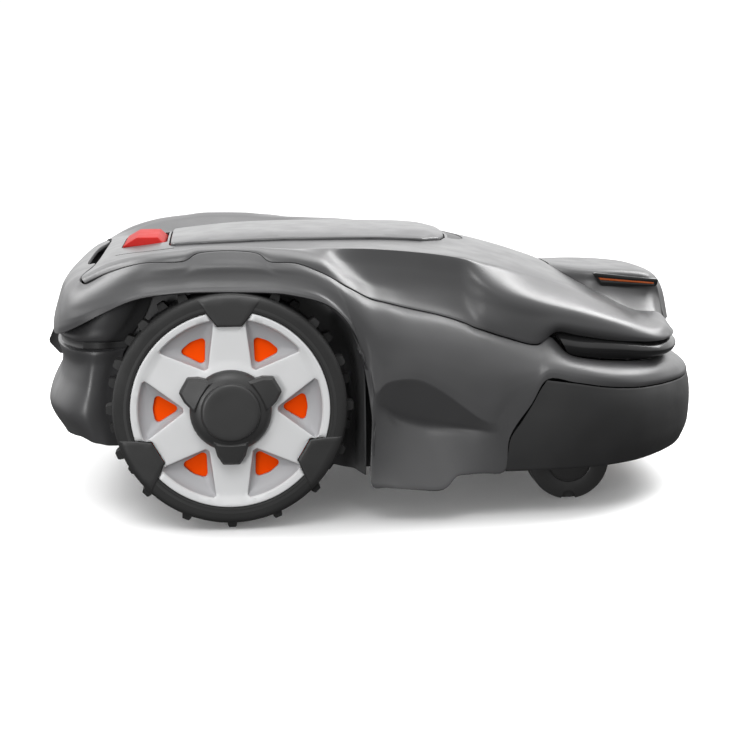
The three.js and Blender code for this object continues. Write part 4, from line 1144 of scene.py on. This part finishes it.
def nose():
    obj = shell("nose_skin", sheet(NOSE, (5, 4)), SKIN, towards=(250, 0, 150), edge=0.9)
    return dress(obj, SHELL_MAT, "shell", ["nose_module"])


def button():
    """Stop button: a cap with sloping sides on a stem with a flange under the hood."""
    b = BUTTON
    rear, front, half, low = b["rear"], b["front"], b["half"], b["low"]
    shoulder, lip = 271, 4
    levels = [
        (rear - lip, front + lip, half + lip, low - 3),
        (rear - lip, front + lip, half + lip, low - 0.6),
        (rear, front, half, low),
        (rear, front, half, shoulder),
        (rear + 15, front - 9, half - 6, b["high"]),
    ]
    verts = [[x, y, z] for x0, x1, h, z in levels for x, y in rectangle(x0, x1, h)]
    top = 4 * len(levels) - 4
    faces = [[3, 2, 1, 0], [top, top + 1, top + 2, top + 3]]
    for k in range(0, top, 4):
        for i, j in ((0, 1), (1, 2), (2, 3), (3, 0)):
            faces.append([k + i, k + j, k + j + 4, k + i + 4])
    obj = make_object("stop_cap", verts, faces)
    bevel(obj, 2.6, 5, 60, angle_limit=0.3)
    return dress(obj, RED_MAT, "stop_button", ["stop_button"])


def tail_fin():
    """Bar across the rear, narrower at its tip."""
    profile = [
        [-346, 187], [-354, 187], [-358, 181.5], [-366, 163.5],
        [-364.6, 159.8], [-353, 150], [-346, 150],
    ]
    half_width, tip, tip_share = 46, -360, 0.72

    def across_rear(p):
        share = np.where(p[:, 0] < tip, tip_share, 1)
        return np.column_stack([p[:, 0], p[:, 2] * share, p[:, 1]])

    obj = prism(profile, -half_width, half_width, across_rear)
    obj.name = "tail_bar"
    bevel(obj, 1.5, 3, 50)
    return dress(obj, BUMPER_MAT, "shell", ["tail_fin"])


def visor(name, side):
    """Black housing on the nose's side with a slim light strip along it."""
    rear, lean = 247, 0.115

    def leaning(p):
        out = p[:, 2] - (p[:, 0] - rear) * lean
        return np.column_stack([p[:, 0], side * out, p[:, 1]])

    outline = rounded([[246.5, 237.8], [325.5, 228.2], [323.5, 220.3], [257, 222.8]], [1.5, 2, 3, 5])
    groove = [[252.5, 232.4], [320.8, 225.2], [320.2, 222.6], [256, 228.6]]
    light = [[253.4, 231.9], [320.3, 224.8], [319.8, 223], [256.4, 229.2]]
    housing = prism(outline, 56, 78, leaning)
    carve(housing, prism(groove, 76.6, 84, leaning))
    housing.name = f"visor_{name}"
    bevel(housing, 0.5, angle_limit=0.6)
    dress(housing, GLOSS_MAT, "shell", [f"sensor_visor_{name}"])
    strip = prism(light, 74, 77.3, leaning)
    strip.name = f"light_strip_{name}"
    bevel(strip, 0.3)
    return dress(strip, STRIP_MAT, "shell")


# Wheel-arch liner on the left: stations from the front wall round behind the wheel, each downwards.
LINER = [
    [
        [-46, 222, 246], [-44, 236, 228], [-38, 241, 205], [-30, 242.5, 161], [-28.5, 242.5, 120],
        [-28, 242.5, 50],
    ],
    [
        [-50, 213, 248], [-47, 222, 230], [-42, 226, 205], [-35, 227, 161], [-33, 227, 120],
        [-32.5, 227, 50],
    ],
    [
        [-54, 206, 252], [-52, 209, 230], [-47, 210, 205], [-40.5, 210, 161], [-38.3, 210, 120],
        [-37.5, 210, 50],
    ],
    [
        [-60, 202, 258], [-59, 202.5, 230], [-55, 203, 205], [-49, 203, 161], [-47, 203, 120],
        [-46, 203, 50],
    ],
    [
        [-70, 200.3, 262], [-70, 200.3, 230], [-67, 200.3, 205], [-62, 200.3, 161],
        [-60, 200.3, 120], [-58, 200.3, 52],
    ],
    cut(-100, (200, 266), (200, 230), (200, 205), (200, 161), (200, 120), (200, 56)),
    cut(-220, (200, 266), (200, 230), (200, 205), (200, 161), (200, 120), (200, 62)),
    cut(-266, (200, 258), (200, 230), (200, 205), (200, 161), (200, 120), (200, 70)),
]


def liner(name, side):
    net = [mirrored(s) for s in LINER] if side < 0 else LINER
    obj = shell(f"arch_liner_{name}", sheet(net, (6, 6)), 1.6, towards=(-150, 0, 140), edge=0.4)
    return dress(obj, SHELL_MAT, "chassis")


def soften(node, width=0.8, smooth=40):
    """A CAD node's own shape with its edges rounded over."""
    source = frame["nodes"][node]
    obj = bpy.data.objects.new(f"{node}_moulded", source.data.copy())
    bpy.context.scene.collection.objects.link(obj)
    tidy_mesh(obj, smooth, 1e-5)
    bevel(obj, width, smooth=smooth, angle_limit=0.6, use_clamp_overlap=True)
    return dress(obj, finish_of(node), source["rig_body"], [node])


def caster_wheel(name, side):
    """Two discs on a sleeve, each with a grooved hub; the outer disc has a drain notch at its rim."""
    disc = [
        [4, 6], [42, 6], [43.4, 6.8], [44, 8.4], [44, 14.6], [43.2, 16.2], [41.5, 17],
        [25.6, 17], [24.8, 16.6], [24.4, 15.2], [23.4, 15.2], [23, 16.4], [22.2, 16.8],
        [9.5, 16.8], [8.5, 16], [8.2, 14], [4, 14],
    ]
    notch_radius, notch_drop = 8, 42.5

    def place(p):
        return np.column_stack([CASTER_X + p[:, 0], side * (CASTER_Y + p[:, 2]), CASTER_Z + p[:, 1]])

    parts = [
        lathe("outer", disc, 96, place),
        lathe("inner", [[r, -z] for r, z in disc], 96, place),
        lathe("sleeve", [[3.2, -8], [4, -8], [4, 8], [3.2, 8]], 32, place),
    ]
    notch = [polar(notch_radius, k * 15) for k in range(24)]
    carve(parts[0], prism([[x, y - notch_drop] for x, y in notch], 9, 20, place))
    obj = join(f"caster_wheel_{name}_moulded", parts)
    return dress(obj, CAP_MAT, f"caster_wheel_{name}", [f"caster_wheel_{name}"])


# CAD nodes that keep their own shape with softened edges.
LARGE_NODES = (
    "chassis_tub", "chassis_lid", "shell_carrier_front", "shell_carrier_rear", "blade_disc", "skid_plate",
)
SMALL_NODES = (
    "control_panel", "jog_knob", "start_button", "display_window", "cutting_motor", "deck_bracket",
)

hood()
hatch()
status_window()
button()
tail_fin()
side_shell()
rear_cowl()
handle_well()
front_bumper()
nose()
for side_name, side_sign in SIDES:
    headlight(side_name, side_sign)
    cowl_band(side_name, side_sign)
    visor(side_name, side_sign)
    liner(side_name, side_sign)
    caster_wheel(side_name, side_sign)
    soften(f"caster_fork_{side_name}", 1.2)
for node_name in LARGE_NODES:
    soften(node_name)
for node_name in SMALL_NODES:
    soften(node_name, 0.6)

# ---- Drive wheels ---------------------------------------------------------------------------


def on_side(side, face):
    """Places wheel points (x forward, y up, z outward from face) on the mower's side."""
    return lambda p: np.column_stack([WHEEL_X + p[:, 0], side * (face + p[:, 2]), WHEEL_Z + p[:, 1]])


def turned(points, degrees):
    a = math.radians(degrees)
    c, s = math.cos(a), math.sin(a)
    return np.array([[x * c - y * s, x * s + y * c] for x, y in points])


def arc(radius, start, end, step=2.0):
    n = max(1, round(abs(end - start) / step))
    return [polar(radius, start + (end - start) * k / n) for k in range(n + 1)]


CLIP_ANGLES = (90, 210, 330)
RIM_NOTCH = [[22.8, 97.5], [12.6, 84.2], [-12.6, 84.2], [-22.8, 97.5]]
SPOKE_GAPS = (0, 60, 120, 180, 240, 300)
RIM_RADIUS, HUB_HOLE = 100.1, 30
CUP_MIDDLE = 74  # radius of the point that a cup's walls run round
CUP_POINTS = 72
CUP_FLOOR, WINDOW_FLOOR = -14.6, -17.6  # heights of a cup's floor and of the end of its window
CUP_FALL = ((0, 0), (0.2, 0.04), (0.42, 0.13), (0.62, 0.29), (0.78, 0.5), (0.9, 0.75), (0.97, 0.92), (1, 1))


def rim_outline():
    """The rim's edge, with a notch for each tyre clip."""
    made = []
    for a in CLIP_ANGLES:
        made += list(turned(rounded(RIM_NOTCH, [0, 2.5, 2.5, 0]), a - 90))
        made += [np.array(p) for p in arc(RIM_RADIUS, a + 13.6, a + 106.4)]
    return np.array(made)


def pocket_outline(a):
    """Recess between two spokes: a wide curved end outside, a narrow end inside."""
    line = arc(92.3, a - 20.3, a + 20.3, 4.5) + [polar(47.5, a + 2.6), polar(47.5, a - 2.6)]
    radii = [4] + [0] * (len(line) - 4) + [4, 2, 2]
    return rounded(line, radii)


def window_outline(a):
    """Window in a cup's floor, with its corner towards the hub."""
    return rounded([polar(77, a - 12), polar(78.5, a), polar(77, a + 12), polar(49.5, a)], [4, 20, 4, 4])


def rays(outline, centre):
    """CUP_POINTS points of an outline, seen from a centre at even angles."""
    made = []
    ends = np.roll(outline, -1, 0)
    for k in range(CUP_POINTS):
        ray = np.array(polar(1, 360 * k / CUP_POINTS))
        best = 0.0
        for p, q in zip(outline - centre, ends - centre):
            edge = q - p
            det = ray[1] * edge[0] - ray[0] * edge[1]
            if abs(det) < 1e-9:
                continue
            reach = (p[1] * edge[0] - p[0] * edge[1]) / det
            share = (ray[0] * p[1] - ray[1] * p[0]) / det
            if reach > best and -1e-6 <= share <= 1 + 1e-6:
                best = reach
        made.append(centre + ray * best)
    return np.array(made)


def rim_height(p, d=None):
    """Face of the rim: a raised lip outside, a flat spoke face, a low ring round the hub."""
    r = np.hypot(p[:, 0], p[:, 1])
    z = -3.2 + 3.2 * smooth01((r - 90) / 5.5) + 1.2 * smooth01((49 - r) / 6)
    return z if d is None else z - 1.1 * (1 - np.sqrt(np.clip(1 - (1 - np.clip(d / 1.6, 0, 1)) ** 2, 0, 1)))


def cup(a, edge, place):
    """Sunken wall from a pocket's edge down to its window, and a short way on behind it."""
    centre = np.array(polar(CUP_MIDDLE, a))
    window = rays(window_outline(a), centre)
    top = rim_height(edge) - 1.1
    levels = []
    for fall, blend in CUP_FALL:
        plan = edge + (window - edge) * blend
        levels.append(np.column_stack([plan, top + (CUP_FLOOR - top) * fall]))
    for share, depth in ((0.985, CUP_FLOOR - 1), (0.97, WINDOW_FLOOR)):
        levels.append(np.column_stack([centre + (window - centre) * share, np.full(CUP_POINTS, depth)]))
    grid = np.array(levels).transpose(1, 0, 2)
    placed = place(grid.reshape(-1, 3)).reshape(grid.shape)
    far_behind = place(np.array([[*centre, -400.0]]))[0]
    return shell(f"cup_{a}", placed, 1.2, loop=True, towards=far_behind, edge=0.2, smooth=50)


def rim(name, side):
    place = on_side(side, TYRE_FACE)
    pockets = [rays(pocket_outline(a), np.array(polar(CUP_MIDDLE, a))) for a in SPOKE_GAPS]
    holes = [np.array(arc(HUB_HOLE, 0, 357, 6)), *pockets]
    plate = panel(f"rim_{name}", rim_outline(), rim_height, 2.6, holes, 5, (0.4, 0.9, 1.6), turn=place)
    cups = [cup(a, edge, place) for a, edge in zip(SPOKE_GAPS, pockets)]
    # The cups take the darker silver copy: painted shade in the pockets.
    dress(join(f"rim_cups_{name}", cups), CUP_SHADE_MAT, f"wheel_{name}")
    barrel = [[RIM_RADIUS, -1.5], [RIM_RADIUS, -38], [97.6, -38], [97.6, -3.5]]
    obj = join(f"rim_{name}_cast", [plate, lathe("barrel", barrel, 128, place)])
    return dress(obj, RIM_MAT, f"wheel_{name}", [f"rim_{name}"])


def accent(name, side):
    profile = [[29, -17.8], [33, -17.6], [86, -19], [88, -19.4], [88, -21], [29, -19.8]]
    obj = lathe(f"accent_{name}", profile, 96, on_side(side, TYRE_FACE))
    return dress(obj, ORANGE_MAT, f"wheel_{name}", [f"accent_disc_{name}"])


def lug(angle, near, place, length):
    """One tread block: a tapered bar across the tread, from its outer end at near."""
    half, foot, top = (5.6, 4.0), 115.5, 125.0
    verts = []
    rings = ((foot, half[0], 0), (top - 2.2, half[1] + 0.4, 0.4), (top - 0.12, half[1] - 0.7, 1.6))
    for r, w, slack in rings:
        for z in (near - slack, near - length + slack):
            for x in (-w, w):
                verts.append([x, r, z])
    verts = np.array(verts)
    verts[:, :2] = turned(verts[:, :2], angle)
    faces = []
    for k in (0, 4):
        for p, q in ((0, 1), (1, 3), (3, 2), (2, 0)):
            faces.append([k + p, k + q, k + q + 4, k + p + 4])
    faces += [[0, 2, 3, 1], [8, 9, 11, 10]]
    return make_object("lug", place(verts), faces, 30)


def tyre(name, side):
    """Tyre with two rows of 16 tread blocks, the inner row half a step round."""
    place = on_side(side, TYRE_FACE)
    face = [
        [100.6, -1.2], [101.6, -0.3], [104, 0], [109, 0],
        [113, -0.5], [115.8, -2], [117.3, -4.6], [118, -8],
    ]
    back = [[118, -50], [117, -54.5], [114, -57.2], [110, -58], [100.6, -58]]
    parts = [lathe(f"tyre_{name}", curve_profile(face) + back, 192, place)]
    step = 22.5
    for near, length, shift in ((-13.5, 19, 0), (-36, 17, step / 2)):
        for k in range(16):
            parts.append(lug(180 + k * step + shift, near, place, length))
    obj = join(f"tyre_{name}_rubber", parts)
    return dress(obj, TYRE_MAT, f"wheel_{name}", [f"tyre_{name}"])


def clips(name, side):
    """Three clips that key the tyre to the rim, joined by a thin hoop in the sidewall."""
    place = on_side(side, TYRE_FACE)

    def height(p, d):
        r = np.hypot(p[:, 0], p[:, 1])
        return 0.95 - 2.6 * smooth01((r - 111.5) / 6) - 0.7 * (1 - smooth01(d / 1.3))

    parts = []
    for a in CLIP_ANGLES:
        left, right = [[-31.0, 111.6], [-21.5, 96.6]], [[21.5, 96.6], [31.0, 111.6]]
        line = [[-12.2, 84.8], [12.2, 84.8], *right, *arc(116.2, 74.6, 105.4, 3), *left]
        outline = evenly(turned(rounded(line, [2.2, 2.2, 3] + [0] * (len(line) - 4) + [3]), a - 90), 3)
        parts.append(panel(f"clip_{a}", outline, height, 2.4, spacing=4, rings=(0.4, 0.9, 1.4), turn=place))
    parts.append(lathe("hoop", [[103.6, -0.6], [103.9, 0.1], [106.6, 0.1], [106.9, -0.6]], 160, place))
    obj = join(f"clips_{name}", parts)
    return dress(obj, CLIP_MAT, f"wheel_{name}", [f"tyre_clips_{name}"])


EAR = [
    [30, -18.2], [45, -14.2], [54.3, -8.4], [54.3, 8.4], [45, 14.2],
    [30, 18.2], [31.5, 9], [32, 0], [31.5, -9],
]
EAR_ROUNDING = [1, 3, 2.5, 2.5, 3, 1, 0, 0, 0]


def hub_cap(name, side):
    """Domed cap on a sloping skirt, with three ears that slope outwards."""
    place = on_side(side, CAP_BASE)
    dome = curve_profile([[0, 9.92], [14, 9.92], [26, 9.88], [28.1, 9.5], [29, 8.6]], 2)
    dome[0][0] = 0.0
    rest = [[29.4, 6.6], [30, 5.9], [33, 5.2], [36.5, 3.2], [39.5, 0.4], [41, -2.4], [41.2, -7.7], [0, -7.7]]
    parts = [lathe(f"cap_{name}", dome + rest, 128, place, closed=False)]
    rings = (0.5, 1.3, 2.6)

    def top(p, d):
        r = np.hypot(p[:, 0], p[:, 1])
        return 7.2 - 0.17 * (r - 32) - 2.6 * (1 - np.clip(d / 2.6, 0, 1))

    def under(p):
        return np.full(len(p), -7.2)

    for a in (30, 150, 270):
        line = evenly(turned(rounded(EAR, EAR_ROUNDING), a), 2.5)
        parts.append(panel(f"ear_{a}", line, top, under, spacing=3, rings=rings, turn=place))
    obj = join(f"hub_cap_{name}_moulded", parts)
    return dress(obj, CAP_MAT, f"wheel_{name}", [f"hub_cap_{name}"])


for side_name, side_sign in SIDES:
    rim(side_name, side_sign)
    accent(side_name, side_sign)
    tyre(side_name, side_sign)
    clips(side_name, side_sign)
    hub_cap(side_name, side_sign)

# ---- Floor, light and camera ----------------------------------------------------------------


def floor_white():
    mat = bpy.data.materials.new("floor_white")
    mat.use_nodes = True
    shader = mat.node_tree.nodes["Principled BSDF"]
    shader.inputs["Base Color"].default_value = (0.92, 0.92, 0.92, 1)
    shader.inputs["Roughness"].default_value = 0.6
    shader.inputs["Emission Color"].default_value = (1, 1, 1, 1)
    shader.inputs["Emission Strength"].default_value = 0.08
    return mat


# Light strength against the direction it comes from: along Y from the front view to behind, along Z.
BACK_LIGHT = ((-1, 0.36), (-0.3, 0.36), (0.25, 0.8), (1, 1.4))
TOP_LIGHT = ((-1, 0), (-0.1, 0), (0.15, 0.25), (1, 0.9))


def floor():
    obj = make_object("floor", [[x, y, 0] for x, y in rectangle(-9000, 9000, 9000)], [[0, 1, 2, 3]])
    obj.location.z = -0.0004
    obj.data.materials.append(floor_white())
    obj.visible_diffuse = False
    obj.visible_glossy = False


def area_light(name, at, target, size, watts):
    light = bpy.data.lights.new(name, "AREA")
    light.shape = "RECTANGLE"
    light.size, light.size_y = size
    light.energy = watts
    obj = bpy.data.objects.new(name, light)
    obj.location = at
    obj.rotation_euler = (Vector(at) - Vector(target)).to_track_quat("Z", "Y").to_euler()
    bpy.context.scene.collection.objects.link(obj)


def glow(nodes, strength):
    """A white background of one strength."""
    node = nodes.new("ShaderNodeBackground")
    node.inputs["Color"].default_value = (1, 1, 1, 1)
    node.inputs["Strength"].default_value = strength
    return node.outputs["Background"]


def mixed(nodes, links, share, first, second):
    """Two backgrounds, mixed by a share."""
    node = nodes.new("ShaderNodeMixShader")
    links.new(share, node.inputs["Fac"])
    links.new(first, node.inputs[1])
    links.new(second, node.inputs[2])
    return node.outputs["Shader"]


def sky_ramp(nodes, links, part, stops):
    """A background whose strength runs along one part of the direction, from -1 to 1."""
    place = nodes.new("ShaderNodeMapRange")
    place.inputs["From Min"].default_value = -1
    links.new(part, place.inputs["Value"])
    grade = nodes.new("ShaderNodeValToRGB")
    while len(grade.color_ramp.elements) < len(stops):
        grade.color_ramp.elements.new(0.5)
    for element, (at, level) in zip(grade.color_ramp.elements, stops):
        element.position = (at + 1) / 2
        element.color = (level / 2, level / 2, level / 2, 1)
    links.new(place.outputs["Result"], grade.inputs["Fac"])
    sky = nodes.new("ShaderNodeBackground")
    sky.inputs["Strength"].default_value = 2
    links.new(grade.outputs["Color"], sky.inputs["Color"])
    return sky.outputs["Background"]


def studio():
    """White all round to the eye; the light itself comes from above and behind, little from below."""
    world = bpy.data.worlds.new("studio")
    world.use_nodes = True
    nodes, links = world.node_tree.nodes, world.node_tree.links
    nodes.clear()
    split = nodes.new("ShaderNodeSeparateXYZ")
    links.new(nodes.new("ShaderNodeTexCoord").outputs["Generated"], split.inputs["Vector"])
    both = nodes.new("ShaderNodeAddShader")
    links.new(sky_ramp(nodes, links, split.outputs["Y"], BACK_LIGHT), both.inputs[0])
    links.new(sky_ramp(nodes, links, split.outputs["Z"], TOP_LIGHT), both.inputs[1])
    rise = nodes.new("ShaderNodeMapRange")
    rise.inputs["From Min"].default_value = -0.2
    rise.inputs["From Max"].default_value = 0.12
    links.new(split.outputs["Z"], rise.inputs["Value"])
    light = mixed(nodes, links, rise.outputs["Result"], glow(nodes, 0.12), both.outputs["Shader"])
    seen = nodes.new("ShaderNodeLightPath").outputs["Is Camera Ray"]
    whole = mixed(nodes, links, seen, light, glow(nodes, 1.05))
    links.new(whole, nodes.new("ShaderNodeOutputWorld").inputs["Surface"])
    bpy.context.scene.world = world
    area_light("top", (0.2, 0.6, 2.4), (0, 0, 0.2), (2.4, 1.4), 30)
    area_light("key", (-0.5, -1.7, 2.3), (0, 0, 0.15), (1.1, 1.1), 20)
    area_light("rear_side", (-1.7, 0.5, 1.7), (-0.2, 0, 0.2), (1.2, 1.2), 30)
    area_light("rear_low", (-0.95, -1.7, 0.22), (-0.33, -0.21, 0.17), (0.5, 0.4), 9)
    area_light("front_side", (1.6, 0.7, 1.8), (0.2, 0, 0.2), (1.2, 1.2), 44)


def camera():
    data = bpy.data.cameras.new("camera")
    data.lens, data.sensor_width = 76.2, 36
    obj = bpy.data.objects.new("camera", data)
    obj.location = (-0.1783, -1.830, 0.4443)
    yaw, pitch = math.radians(5.785), math.radians(10.287)
    ahead = Vector((math.sin(yaw) * math.cos(pitch), math.cos(yaw) * math.cos(pitch), -math.sin(pitch)))
    obj.rotation_euler = ahead.to_track_quat("-Z", "Y").to_euler()
    bpy.context.scene.collection.objects.link(obj)
    bpy.context.scene.camera = obj


floor()
studio()
camera()
bpy.context.scene.view_settings.view_transform = "Standard"
